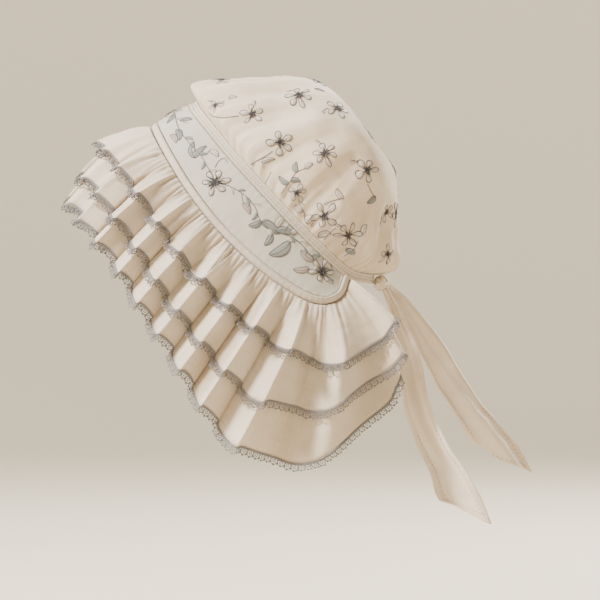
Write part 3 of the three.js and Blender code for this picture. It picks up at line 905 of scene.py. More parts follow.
turns = np.arange(crownGrid["around"]) / crownGrid["around"] * fullTurn
shares = np.linspace(0, 1, crownGrid["outward"] + 1) ** crownGrid["crowding"]
grid = crownPoint(turns[None, :], shares[:, None])
smooth = hoopPoint(*np.broadcast_arrays(turns[None, :], shares[:, None]))
meridian = np.linalg.norm(np.diff(smooth, axis=0), axis=-1).mean(axis=1)
fromPole = np.concatenate([np.cumsum(meridian[::-1])[::-1], [0]])
discUv = np.stack([fromPole[:, None] * np.cos(turns), fromPole[:, None] * np.sin(turns)], axis=-1)
discUv = discUv.reshape(-1, 2)
# Painted shade: darker in the valleys of the gathers and pleats and next to the casing
low = 0.5 - 0.5 * np.cos(gathers["count"] * turns)[None, :] * np.ones_like(shares)[:, None]
crownFoldShade = crownShade["gather"] * low * np.sin(math.pi * np.minimum(shares / gathers["reach"], 1))[:, None]
valleys = np.clip(-crownPleat(turns), 0, 1)[None, :]
crownFoldShade = crownFoldShade + crownShade["pleat"] * valleys * np.exp(-shares / crownShade["pleatReach"])[:, None]
crownFoldShade = crownFoldShade + crownShade["seam"] * np.exp(-shares / crownShade["seamReach"])[:, None]
crown = shell(
    "crown_cloth", grid, crownGrid["thickness"], [crownMuslin],
    ring=True, pole=True, uv=discUv, fold=crownFoldShade,
)
finishPiece(crown, "muslin", "crown")


# Casing, binding and head band

def pipedSection(width, thickness, cord, flatShare, steps):
    # A tape with a cord in each edge
    x = np.cos(np.linspace(0, math.pi, steps)) * width / 2
    fromEdge = np.abs(x) - (width / 2 - cord)
    high = np.sqrt(np.maximum(cord**2 - fromEdge**2, 0)) * (np.abs(fromEdge) <= cord)
    flat = np.minimum(thickness / 2 * flatShare, thickness / 2)
    edge = np.clip((width / 2 - np.abs(x)) / 0.3, 0, 1)
    upper = np.maximum(high, flat * edge)
    top = [(a, b) for a, b in zip(x, upper)]
    bottom = [(a, -b) for a, b in zip(x[::-1], upper[::-1])][1:-1]
    return top + bottom


casingLook = {
    "cord": 1.35, "flat": 0.5, "puckers": 118, "puckerDepth": 0.16, "steps": 420, "sectionSteps": 15,
    "stitchShift": 1.3, "stitchLift": 0.05,
}
turnDegrees = np.arange(casingLook["steps"]) / casingLook["steps"] * 360
side = np.where(turnDegrees > 180, -1.0, 1.0)
angle = np.where(side > 0, turnDegrees, 360 - turnDegrees)
_, casingOut, casingAcross = seamFrame(angle)
casingOut, casingAcross = mirrorX(casingOut, side), mirrorX(casingAcross, side)
pucker = casingLook["puckerDepth"] * np.sin(np.radians(turnDegrees) * casingLook["puckers"])
casingMiddle = mirrorX(seamPoint(angle), side) + scaled(casingOut, pucker)
casingPiece = sweep(
    "casing_tape", casingMiddle, casingOut, casingAcross,
    pipedSection(
        casing["width"], casing["thickness"], casingLook["cord"], casingLook["flat"],
        casingLook["sectionSteps"],
    ),
    tapeMuslin, closed=True,
)
finishPiece(outward(casingPiece), "tape", "crown_casing")


bindingLook = {
    "steps": 420, "sides": 18, "puckers": 260, "puckerDepth": 0.14, "crowding": 0.4, "square": 0.75,
    "stitchShift": 2.3, "stitchHeight": 0.36,
}
place = np.linspace(-1, 1, bindingLook["steps"] + 1)
at = np.abs(place) * (1 + bindingLook["crowding"] * (1 - np.abs(place)))
sign = np.where(place < 0, -1.0, 1.0)
_, bindingAway, bindingOut = (mirrorX(v, sign) for v in frontFrame(at))
turn = np.linspace(0, fullTurn, bindingLook["sides"] + 1)[:-1]
foldedSection = [
    (a * binding["width"] / 2, np.sign(b) * abs(b) ** bindingLook["square"] * binding["thickness"] / 2)
    for a, b in zip(np.cos(turn), np.sin(turn))
]
pucker = bindingLook["puckerDepth"] * np.sin(place * bindingLook["puckers"])
bindingMiddle = mirrorX(frontPoint(at), sign) - bindingAway * (binding["width"] / 2)
bindingMiddle = bindingMiddle + scaled(bindingOut, pucker)
bindingPiece = sweep(
    "binding_tape", bindingMiddle, bindingOut, bindingAway, foldedSection, tapeMuslin, closed=False,
)
finishPiece(outward(bindingPiece), "tape", "front_binding")


bandLook = {
    "along": 320, "across": 30, "thickness": 0.9, "fold": 0.1, "crowding": 0.3,
    "puckerDepth": 0.3, "puckers": 62, "puckerReach": 0.12,
    "rumple": 0.5, "rumpleSize": 38, "rumpleSeed": 8,
}


def bandCloth(place, share):
    place, share = np.broadcast_arrays(np.asarray(place, dtype=float), np.asarray(share, dtype=float))
    point = bothSides(bandPoint, place, share)
    near = 0.004
    beside = bothSides(bandPoint, place + near, share) - bothSides(bandPoint, place - near, share)
    onward = bothSides(bandPoint, place, np.minimum(share + near, 1))
    onward = onward - bothSides(bandPoint, place, np.maximum(share - near, 0))
    reach = bandLook["puckerReach"]
    edge = np.exp(-share / reach) + np.exp(-(1 - share) / reach)
    lift = bandLook["puckerDepth"] * edge * np.cos(place * bandLook["puckers"] * math.pi + np.sin(place * 23))
    rumple = bandLook["rumple"] * softNoise(point, bandLook["rumpleSize"], bandLook["rumpleSeed"])
    lift = lift + rumple * np.sin(math.pi * share)
    return point + scaled(crossed(beside, onward), lift)


place = np.linspace(-1, 1, bandLook["along"] + 1)
place = np.sign(place) * np.abs(place) * (1 + bandLook["crowding"] * (1 - np.abs(place)))
grid = bandCloth(place[None, :], np.linspace(0, 1, bandLook["across"] + 1)[:, None])
bandFold = np.full(grid.shape[:2], bandLook["fold"])
band = shell("band_cloth", grid, bandLook["thickness"], [bandMuslin], fold=bandFold)
finishPiece(band, "band_cloth", "head_band")


# Ruffles

ruffleGrid = {"perFold": 34, "across": 27, "crowding": 1.1, "thickness": 0.6, "tuck": 0.4}
# Strengths of the painted shade on the ruffles
ruffleShade = {"fold": 0.5, "foldPower": 1.5, "root": 0.2, "rootReach": 8, "tuck": 0.8, "tuckReach": 16}


def ruffleShares(ruffle, at, start, end):
    # Shares of the ruffle's depth at which its cloth or lace starts and ends, in millimetres from its edge
    length = valueAt(fallRows, ruffle["columns"] + "Deep", at)
    return (1 - start / length), (1 - end / length)


for ruffle in ruffles:
    place = np.linspace(-1, 1, 2 * folds["perSide"] * ruffleGrid["perFold"] + 1)
    lastShare, _ = ruffleShares(ruffle, np.abs(place), laceWidth - ruffleGrid["tuck"], 0)
    rowShare = np.linspace(0, 1, ruffleGrid["across"] + 1) ** ruffleGrid["crowding"]
    grid = bothSides(
        lambda at, share: rufflePoint(ruffle, at, share),
        np.broadcast_to(place, (len(rowShare), len(place))),
        rowShare[:, None] * lastShare[None, :],
    )
    # Painted shade: darker in the inward folds, near the binding and in the tucks' valleys
    inward = 0.5 - 0.5 * np.cos(folds["perSide"] * fullTurn * np.abs(place))
    shade = ruffleShade
    ruffleFoldShade = shade["fold"] * inward[None, :] ** shade["foldPower"] * smoothstep(rowShare, 0, 0.5)[:, None]
    fromRoot = rowShare[:, None] * valueAt(fallRows, ruffle["columns"] + "Deep", np.abs(place))[None, :]
    tucks = tuckValley(folds["perSide"] * fullTurn * np.abs(place))[None, :]
    ruffleFoldShade = ruffleFoldShade + shade["root"] * np.exp(-fromRoot / shade["rootReach"])
    tuckFoldShade = shade["tuck"] * np.clip(-tucks, 0, 1) * np.exp(-fromRoot / shade["tuckReach"])
    ruffleFoldShade = ruffleFoldShade + tuckFoldShade
    name = "ruffle_" + ruffle["place"]
    cloth = shell(name + "_cloth", grid, ruffleGrid["thickness"], [ruffleMuslin], fold=ruffleFoldShade)
    finishPiece(cloth, "muslin", name)


# Geometry Nodes helpers

def geometryTree(name, inputs):
    tree = bpy.data.node_groups.new(name, "GeometryNodeTree")
    tree.interface.new_socket("Geometry", in_out="INPUT", socket_type="NodeSocketGeometry")
    for label, kind, value in inputs:
        socket = tree.interface.new_socket(label, in_out="INPUT", socket_type=kind)
        if value is not None:
            socket.default_value = value
    tree.interface.new_socket("Geometry", in_out="OUTPUT", socket_type="NodeSocketGeometry")
    return tree, tree.nodes.new("NodeGroupInput"), tree.nodes.new("NodeGroupOutput")


def combine(tree, x, y, z=0.0):
    return addNode(tree, "ShaderNodeCombineXYZ", {"X": x, "Y": y, "Z": z}).outputs[0]


def circleCurve(tree, points, radius):
    circle = addNode(tree, "GeometryNodeCurvePrimitiveCircle", {
        "Resolution": points, "Radius": radius,
    }, mode="RADIUS")
    return circle.outputs["Curve"]


def ringCurve(tree, points, width, height, middle):
    # A closed loop of thread: an oval of the given half width and half height
    placed = addNode(tree, "GeometryNodeTransform", {
        "Geometry": circleCurve(tree, points, 1.0),
        "Translation": combine(tree, 0.0, middle),
        "Scale": combine(tree, width, height, 1.0),
    })
    return placed.outputs[0]


def namedVector(tree, name):
    named = addNode(tree, "GeometryNodeInputNamedAttribute", {"Name": name}, data_type="FLOAT_VECTOR")
    return named.outputs["Attribute"]


def alignedToPath(tree):
    # Local Z points out of the cloth and local Y across the path, so X runs along it
    turned = addNode(tree, "FunctionNodeAxesToRotation", {
        "Primary Axis": namedVector(tree, "out"), "Secondary Axis": namedVector(tree, "ahead"),
    }, primary_axis="Z", secondary_axis="Y")
    return turned.outputs[0]


def threadAlong(tree, curve, radius, sides):
    return addNode(tree, "GeometryNodeCurveToMesh", {
        "Curve": curve, "Profile Curve": circleCurve(tree, sides, radius), "Fill Caps": True,
    }).outputs[0]


def spotsAlong(tree, curve, length):
    return addNode(tree, "GeometryNodeResampleCurve", {
        "Curve": curve, "Length": length,
    }, mode="LENGTH").outputs[0]


def closeTree(tree, result, geometry, material):
    real = addNode(tree, "GeometryNodeRealizeInstances", {"Geometry": geometry})
    smooth = addNode(tree, "GeometryNodeSetShadeSmooth", {"Geometry": real.outputs[0]})
    painted = addNode(tree, "GeometryNodeSetMaterial", {"Geometry": smooth.outputs[0], "Material": material})
    tree.links.new(painted.outputs[0], result.inputs[0])


# One scallop of the lace as shares of its width, and the threads along its heading
scallop = {
    "halfWidth": 0.44, "halfHeight": 0.40, "middle": 0.50,
    "eye": 0.17, "eyeMiddle": 0.46,
    "picot": 0.10, "picotDegrees": (28, 90, 152), "picotOut": 1.12, "picotUp": 1.06,
    "heading": ((0.05, 1.7), (0.17, 1.1)), "headingStep": 0.0022,
}


def picotLaceTree():
    tree, given, result = geometryTree("picotLace", [
        ("Pitch", "NodeSocketFloat", 0.007),
        ("Width", "NodeSocketFloat", 0.008),
        ("Thread", "NodeSocketFloat", 0.0004),
        ("Seed", "NodeSocketInt", 5),
        ("Material", "NodeSocketMaterial", None),
    ])
    g = given.outputs
    curve = addNode(tree, "GeometryNodeMeshToCurve", {"Mesh": g["Geometry"]}).outputs[0]
    spots = spotsAlong(tree, curve, g["Pitch"])

    def part(share):
        return mathNode(tree, "MULTIPLY", g["Width"], share)

    rings = [
        ringCurve(tree, 13, part(scallop["halfWidth"]), part(scallop["halfHeight"]), part(scallop["middle"])),
        ringCurve(tree, 8, part(scallop["eye"]), part(scallop["eye"]), part(scallop["eyeMiddle"])),
    ]
    for degrees in scallop["picotDegrees"]:
        a = math.radians(degrees)
        picot = circleCurve(tree, 7, part(scallop["picot"]))
        beside = part(scallop["halfWidth"] * math.cos(a) * scallop["picotOut"])
        up = part(scallop["halfHeight"] * math.sin(a) * scallop["picotUp"])
        beyond = mathNode(tree, "ADD", part(scallop["middle"]), up)
        rings.append(addNode(tree, "GeometryNodeTransform", {
            "Geometry": picot, "Translation": combine(tree, beside, beyond),
        }).outputs[0])
    joined = tree.nodes.new("GeometryNodeJoinGeometry")
    for ring in rings:
        tree.links.new(ring, joined.inputs[0])
    motif = threadAlong(tree, joined.outputs[0], g["Thread"], 4)
    chance = addNode(tree, "FunctionNodeRandomValue", {
        "Min": (0.9, 0.86, 1.0), "Max": (1.06, 1.05, 1.0), "Seed": g["Seed"],
    }, data_type="FLOAT_VECTOR")
    placed = addNode(tree, "GeometryNodeInstanceOnPoints", {
        "Points": spots, "Instance": motif, "Rotation": alignedToPath(tree), "Scale": chance.outputs[0],
    }).outputs[0]
    ahead = namedVector(tree, "ahead")
    threads = [placed]
    for share, thick in scallop["heading"]:
        offset = addNode(tree, "ShaderNodeVectorMath", {
            0: ahead, "Scale": part(share),
        }, operation="SCALE").outputs[0]
        fine = spotsAlong(tree, curve, scallop["headingStep"])
        moved = addNode(tree, "GeometryNodeSetPosition", {"Geometry": fine, "Offset": offset}).outputs[0]
        threads.append(threadAlong(tree, moved, mathNode(tree, "MULTIPLY", g["Thread"], thick), 5))
    everything = tree.nodes.new("GeometryNodeJoinGeometry")
    for thread in threads:
        tree.links.new(thread, everything.inputs[0])
    closeTree(tree, result, everything.outputs[0], g["Material"])
    return tree


def runningStitchTree():
    tree, given, result = geometryTree("runningStitch", [
        ("Pitch", "NodeSocketFloat", 0.003),
        ("Length", "NodeSocketFloat", 0.002),
        ("Thread", "NodeSocketFloat", 0.0003),
        ("Material", "NodeSocketMaterial", None),
    ])
    g = given.outputs
    curve = addNode(tree, "GeometryNodeMeshToCurve", {"Mesh": g["Geometry"]}).outputs[0]
    spots = spotsAlong(tree, curve, g["Pitch"])
    ball = addNode(tree, "GeometryNodeMeshUVSphere", {"Segments": 6, "Rings": 4, "Radius": 0.5})
    across = mathNode(tree, "MULTIPLY", g["Thread"], 2.0)
    stitch = addNode(tree, "GeometryNodeTransform", {
        "Geometry": ball.outputs["Mesh"], "Scale": combine(tree, g["Length"], across, across),
    }).outputs[0]
    placed = addNode(tree, "GeometryNodeInstanceOnPoints", {
        "Points": spots, "Instance": stitch, "Rotation": alignedToPath(tree),
    }).outputs[0]
    closeTree(tree, result, placed, g["Material"])
    return tree


def madeByNodes(name, paths, tree, values):
    # paths: lines of (points, out, ahead) in millimetres, which the tree dresses
    points, edges, outs, aheads = [], [], [], []
    for line, out, ahead in paths:
        start = len(points)
        points += (np.asarray(line) * mm).tolist()
        edges += [(start + i, start + i + 1) for i in range(len(line) - 1)]
        outs.append(out)
        aheads.append(ahead)
    mesh = bpy.data.meshes.new(name)
    mesh.from_pydata(points, edges, [])
    for label, vectors in (("out", outs), ("ahead", aheads)):
        data = np.concatenate(vectors).astype(np.float32).ravel()
        mesh.attributes.new(label, "FLOAT_VECTOR", "POINT").data.foreach_set("vector", data)
    base = bpy.data.objects.new(name + "_path", mesh)
    bpy.context.scene.collection.objects.link(base)
    modifier = base.modifiers.new("Make", "NODES")
    modifier.node_group = tree
    for item in tree.interface.items_tree:
        if item.item_type == "SOCKET" and item.in_out == "INPUT" and item.name in values:
            modifier[item.identifier] = values[item.name]
    bpy.context.view_layer.update()
    seen = base.evaluated_get(bpy.context.evaluated_depsgraph_get())
    made = bpy.data.objects.new(name, bpy.data.meshes.new_from_object(seen))
    bpy.data.objects.remove(base)
    bpy.context.scene.collection.objects.link(made)
    for label in ("out", "ahead"):
        if label in made.data.attributes:
            made.data.attributes.remove(made.data.attributes[label])
    return made


# Lace on the ruffles' free edges

laceLook = {"pitch": 0.0068, "thread": 0.00042, "steps": 1500, "lift": 0.6}
laceTree = picotLaceTree()
headMiddle = np.array([0, 60, -110])  # tells the cloth's outside from its inside
for order, ruffle in enumerate(ruffles):
    place = np.linspace(-1, 1, laceLook["steps"])
    inner, outer = ruffleShares(ruffle, np.abs(place), laceWidth, 0)
    cloth = lambda at, share: rufflePoint(ruffle, at, share)
    line = bothSides(cloth, place, inner)
    ahead = unit(bothSides(cloth, place, outer) - line)
    along = unit(np.gradient(line, axis=0))
    out = crossed(ahead, along)
    outwards = np.sign(np.sum(out * (line - headMiddle), axis=-1).mean())
    line = line + laceLook["lift"] * outwards * out
    name = "lace_" + ruffle["place"]
    lace = madeByNodes(name + "_loops", [(line, out, ahead)], laceTree, {
        "Pitch": laceLook["pitch"], "Width": laceWidth * mm, "Thread": laceLook["thread"], "Seed": order + 5,
        "Material": laceThread,
    })
    finishPiece(lace, "lace", name)


# Stitches along the casing, the binding and the hems

stitchTree = runningStitchTree()
stitchLook = {"pitch": 0.0032, "tiePitch": 0.0045, "length": 0.0023, "thread": 0.00028, "lift": 0.1}


def stitches(name, paths, pitch=stitchLook["pitch"]):
    return madeByNodes(name, paths, stitchTree, {
        "Pitch": pitch, "Length": stitchLook["length"], "Thread": stitchLook["thread"],
        "Material": sewingThread,
    })


casingFace = casing["thickness"] / 2 * casingLook["flat"]
loop = np.append(np.arange(len(casingMiddle)), 0)
casingPaths = []
for shift in (-casingLook["stitchShift"], casingLook["stitchShift"]):
    line = casingMiddle[loop] + casingOut[loop] * (casingFace + casingLook["stitchLift"])
    line = line + casingAcross[loop] * shift
    casingPaths.append((line, casingOut[loop], casingAcross[loop]))
finishPiece(stitches("casing_stitches", casingPaths), "tape")
bindingLine = bindingMiddle + bindingOut * (binding["thickness"] * bindingLook["stitchHeight"])
bindingLine = bindingLine - bindingAway * bindingLook["stitchShift"]
finishPiece(stitches("binding_stitches", [(bindingLine, bindingOut, bindingAway)]), "tape")


# Embroidery: small closed forms in local millimetres, laid onto the cloth

def ballMesh(around, over):
    # A closed ball of unit radius with its poles on the X axis
    points = [(-1, 0, 0)]
    for r in range(1, over):
        a = math.pi * r / over
        for c in range(around):
            b = fullTurn * c / around
            points.append((-math.cos(a), math.sin(a) * math.cos(b), math.sin(a) * math.sin(b)))
    points.append((1, 0, 0))
    faces = [(0, 1 + (c + 1) % around, 1 + c) for c in range(around)]
    for r in range(over - 2):
        first, second = 1 + r * around, 1 + (r + 1) * around
        for c in range(around):
            after = (c + 1) % around
            faces.append((first + c, first + after, second + after, second + c))
    last = 1 + (over - 2) * around
    faces += [(last + c, last + (c + 1) % around, len(points) - 1) for c in range(around)]
    return np.array(points, dtype=float), faces


def tubeMesh(line, radius, sides, closed):
    # A thread that follows a line in the cloth's plane
    line = np.asarray(line, dtype=float)
    if closed:
        along = unit(np.roll(line, -1, axis=0) - np.roll(line, 1, axis=0))
    else:
        along = unit(np.gradient(line, axis=0))
    up = np.broadcast_to([0.0, 0, 1], line.shape)
    beside = crossed(up, along)
    radius = np.broadcast_to(np.asarray(radius, dtype=float), (len(line),))
    turn = np.arange(sides) / sides * fullTurn
    points = line[:, None] + beside[:, None] * (np.cos(turn)[None, :, None] * radius[:, None, None])
    points = points + up[:, None] * (np.sin(turn)[None, :, None] * radius[:, None, None])
    count = len(line)
    faces = []
    for r in range(count if closed else count - 1):
        first, second = r * sides, (r + 1) % count * sides
        for k in range(sides):
            after = (k + 1) % sides
            faces.append((first + k, second + k, second + after, first + after))
    if not closed:
        faces.append(tuple(range(sides)))
        faces.append(tuple((count - 1) * sides + k for k in reversed(range(sides))))
    return points.reshape(-1, 3), faces


class Needlework:
    # Gathers forms of several threads and makes one piece of them
    def __init__(self, threads):
        self.threads = threads
        self.points, self.faces, self.thread, self.count = [], [], [], 0

    def add(self, points, faces, thread):
        self.points.append(points)
        self.faces += [[i + self.count for i in face] for face in faces]
        self.thread += [self.threads.index(thread)] * len(faces)
        self.count += len(points)

    def addAll(self, forms, place):
        placed = place(np.concatenate([points for points, _, _ in forms]))
        start = 0
        for points, faces, thread in forms:
            self.add(placed[start: start + len(points)], faces, thread)
            start += len(points)

    def make(self, name):
        points = np.concatenate(self.points)
        return makeObject(name, points, self.faces, self.threads, faceMaterials=self.thread)


def turnedBy(angle, forms, origin=(0.0, 0.0)):
    c, s = math.cos(angle), math.sin(angle)
    turned = np.array([[c, s, 0], [-s, c, 0], [0, 0, 1]])
    shift = np.array([origin[0], origin[1], 0])
    return [(points @ turned + shift, faces, thread) for points, faces, thread in forms]


def petalSpread(x):
    # How wide a petal is, from its root at -1 to its tip at 1
    return 0.72 + 0.42 * x * (1 - 0.35 * x)


def petal(start, end, width, angle, chance):
    # A padded satin petal that is widest beyond its middle, a loose thread round it and a dark stitch in it
    ball, faces = ballMesh(8, 6)
    local = np.stack([
        start + (end - start) * (ball[:, 0] + 1) / 2,
        ball[:, 1] * width / 2 * petalSpread(ball[:, 0]),
        ball[:, 2] * 0.6,
    ], axis=-1)
    t = np.linspace(0, fullTurn, 17)[:-1]
    loose = 1.06 + 0.09 * np.sin(2 * t + chance.uniform(0, 6)) + 0.07 * np.sin(3 * t + chance.uniform(0, 6))
    rim = np.stack([
        start + (end - start) * (np.cos(t) * loose + 1) / 2,
        np.sin(t) * width / 2 * loose * petalSpread(np.cos(t)),
        np.full_like(t, 0.2),
    ], axis=-1)
    firm = 0.25 + 0.17 * np.clip(np.cos(t + chance.uniform(-0.7, 0.7)), 0, 1)
    forms = [(local, faces, satinThread)]
    forms.append((*tubeMesh(rim, firm, 4, True), outlineThread))
    reach = start + (end - start) * chance.uniform(0.35, 0.75)
    bent = chance.uniform(-0.9, 0.9)
    stitch = [(start * 0.4 + (reach - start * 0.4) * q, bent * q * q, 0.62) for q in np.linspace(0, 1, 4)]
    forms.append((*tubeMesh(stitch, np.array([0.36, 0.34, 0.26, 0.1]), 4, False), outlineThread))
    return turnedBy(angle, forms)


flowerLook = {"reach": 12.6, "eye": 2.3, "petalWidth": 0.58, "rays": 11, "rayReach": 5.0}


def flower(petals, seed, spread=1.0):
    # Padded petals round a dark eye, with short dark stitches that run out of it
    chance = np.random.default_rng(seed)
    look = flowerLook
    forms = []
    for i in range(petals):
        angle = fullTurn * (i + chance.uniform(-0.17, 0.17)) / petals
        forms += petal(
            look["eye"] * chance.uniform(0.8, 1.5), look["reach"] * chance.uniform(0.8, 1.12),
            look["reach"] * look["petalWidth"] * 5 / petals * chance.uniform(0.8, 1.08), angle, chance,
        )
    t = np.linspace(0, fullTurn, 15)[:-1]
    eye = look["eye"]
    ring = np.stack([np.cos(t) * eye, np.sin(t) * eye, np.full_like(t, 0.55)], axis=-1)
    forms.append((*tubeMesh(ring, 0.5, 5, True), outlineThread))
    ball, faces = ballMesh(10, 5)
    forms.append((ball * [eye * 0.95, eye * 0.95, 0.75] + [0, 0, 0.25], faces, darkThread))
    for i in range(look["rays"]):
        angle = fullTurn * (i + chance.uniform(-0.3, 0.3)) / look["rays"]
        end = look["rayReach"] * spread * chance.uniform(0.7, 1.2)
        reach = np.linspace(eye * 0.9, end, 4)
        line = np.array([(r * math.cos(angle), r * math.sin(angle), 0.85) for r in reach])
        forms.append((*tubeMesh(line, np.array([0.38, 0.34, 0.26, 0.1]), 4, False), darkThread))
    return forms


def leaf(length, width, angle, origin=(0.0, 0.0), thread=None, rimmed=False):
    ball, faces = ballMesh(8, 7)
    spread = 1 - 0.25 * ball[:, 0]
    curve = 0.12 * length * (1 - ball[:, 0] ** 2)
    local = np.stack([
        (ball[:, 0] + 1) / 2 * length,
        ball[:, 1] * width / 2 * spread + curve,
        ball[:, 2] * 0.5,
    ], axis=-1)
    t = np.linspace(0, 1, 8)
    vein = np.stack([t * length, 0.12 * length * (1 - (2 * t - 1) ** 2), np.full_like(t, 0.5)], axis=-1)
    forms = [(local, faces, thread or leafThread), (*tubeMesh(vein, 0.18, 4, False), outlineThread)]
    if rimmed:
        t = np.linspace(0, fullTurn, 15)[:-1]
        rim = np.stack([
            (np.cos(t) * 1.03 + 1) / 2 * length,
            np.sin(t) * width / 2 * 1.06 * (1 - 0.25 * np.cos(t)) + 0.12 * length * np.sin(t) ** 2,
            np.full_like(t, 0.15),
        ], axis=-1)
        forms.append((*tubeMesh(rim, 0.24, 4, True), outlineThread))
    return turnedBy(angle, forms, origin)


def stem(line):
    return [(*tubeMesh([(x, y, 0.22) for x, y in line], 0.34, 5, False), outlineThread)]


class Ground:
    # A piece of cloth to embroider, measured once. Its outside is where u to v turns as X to Y does.
    def __init__(self, surface, us, vs, half):
        self.us, self.vs, self.half = us, vs, half
        u, v = np.meshgrid(us, vs, indexing="ij")
        points = surface(u, v)
        out = crossed(np.gradient(points, axis=0), np.gradient(points, axis=1))
        self.cells = np.concatenate([points, out], axis=-1)

    def at(self, u, v):
        a = np.clip((np.asarray(u) - self.us[0]) / (self.us[1] - self.us[0]), 0, len(self.us) - 1.001)
        b = np.clip((np.asarray(v) - self.vs[0]) / (self.vs[1] - self.vs[0]), 0, len(self.vs) - 1.001)
        i, j = a.astype(int), b.astype(int)
        s, t = (a - i)[..., None], (b - j)[..., None]
        c = self.cells
        low = c[i, j] * (1 - s) + c[i + 1, j] * s
        high = c[i, j + 1] * (1 - s) + c[i + 1, j + 1] * s
        mixed = low * (1 - t) + high * t
        return mixed[..., :3], unit(mixed[..., 3:])

    def seenAt(self, y, z):
        # The place on the wearer's left side that is seen at y, z from the side
        c = self.cells
        seen = np.where(c[..., 3] > 0.05, (c[..., 1] - y) ** 2 + (c[..., 2] - z) ** 2, 1e9)
        i, j = np.unravel_index(np.argmin(seen), seen.shape)
        return self.us[i], self.vs[j]

    def frameAt(self, u, v):
        near = 4
        stepU, stepV = near * (self.us[1] - self.us[0]), near * (self.vs[1] - self.vs[0])
        su = (self.at(u + stepU, v)[0] - self.at(u - stepU, v)[0]) / (2 * stepU)
        sv = (self.at(u, v + stepV)[0] - self.at(u, v - stepV)[0]) / (2 * stepV)
        first = unit(sv)
        return su, sv, first, np.cross(crossed(su, sv), first)

    def spinTowards(self, u, v, way):
        _, _, first, second = self.frameAt(u, v)
        return math.degrees(math.atan2(np.dot(way, second), np.dot(way, first)))

    def laid(self, u, v, spin, size):
        # Puts local millimetres onto the cloth: X runs onward over it, turned by spin degrees
        su, sv, first, second = self.frameAt(u, v)
        c, s = math.cos(math.radians(spin)), math.sin(math.radians(spin))
        back = np.linalg.pinv(np.stack([su, sv], axis=-1))

        def place(local):
            x = (local[:, 0] * c - local[:, 1] * s) * size
            y = (local[:, 0] * s + local[:, 1] * c) * size
            steps = (x[:, None] * first + y[:, None] * second) @ back.T
            points, out = self.at(u + steps[:, 0], v + steps[:, 1])
            return points + scaled(out, local[:, 2] * size + self.half)

        return place


# The crown's scattered flowers, by their places seen from the side: y, z, size, spin, petals.
# The last column is 1 where a sprig grows towards the casing and 0 where a short curl does.
crownFlowers = [
    (52.9, -3.6, 0.95, 10, 5, 0),
    (97.7, 15.1, 1.1, 40, 6, 0),
    (135.2, 2.2, 1.0, 75, 5, 0),
    (167.2, -21.0, 0.85, 20, 5, 0),
    (80.4, -31.1, 1.05, 160, 5, 1),
    (122.4, -41.2, 1.0, 200, 6, 0),
    (162.7, -57.1, 1.05, 30, 5, 0),
    (96.3, -79.0, 0.8, 100, 5, 0),
    (122.4, -100.5, 1.05, 60, 5, 0),
    (145.3, -119.3, 1.0, 15, 6, 0),
    (181.7, -96.3, 0.8, 45, 5, 0),
    (183.1, -136.6, 0.75, 80, 5, 0),
    (18.0, 6.0, 0.7, 30, 5, 0),
]
# Loose leaves on the crown, as seen from the side: y, z, the way they point, length, width, thread
crownLeaves = [
    (105.0, -107.5, 0.8, 0.7, 12, 6.5, "satin"),
    (116.0, -120.0, 0.95, 0.3, 12, 6.0, "satin"),
    (101.0, -97.5, -0.6, 0.75, 9, 4.5, "satin"),
    (143.0, -133.0, 0.7, -0.5, 12, 5.5, "leaf"),
    (159.0, -118.0, 0.5, 0.8, 10, 5.0, "satin"),
    (96.0, -60.0, -0.1, 1.0, 11, 5.5, "leaf"),
    (88.0, -70.0, -0.8, 0.6, 12, 5.0, "leaf"),
    (104.0, -56.0, 0.8, 0.5, 9, 4.5, "satin"),
    (90.0, -67.0, 0.9, -0.1, 9, 4.5, "leaf"),
    (140.0, -84.0, -0.5, 0.8, 11, 5.0, "satin"),
    (171.0, -82.0, -0.8, -0.5, 9, 4.5, "leaf"),
    (62.0, -50.0, 0.9, 0.45, 10, 4.5, "satin"),
    (30.0, 12.0, 0.9, 0.1, 9, 4.0, "satin"),
    (113.0, 22.0, 0.9, -0.4, 10, 4.5, "leaf"),
]
# Bare stems on the crown, as seen from the side
crownStems = [
    [(40, -5), (28, -6.5), (17, -5), (12, -1)],
    [(98, -88), (103, -98), (104, -105)],
    [(66, -70), (69, -64), (72, -59)],
    [(81, -80), (87, -71), (96, -60), (104, -56)],
    [(163, -70), (167, -77), (171, -83)],
    [(122, -90), (130, -86), (140, -84)],
    [(133, -112), (127, -117), (122, -123)],
    [(155, -124), (150, -132), (141, -139)],
]
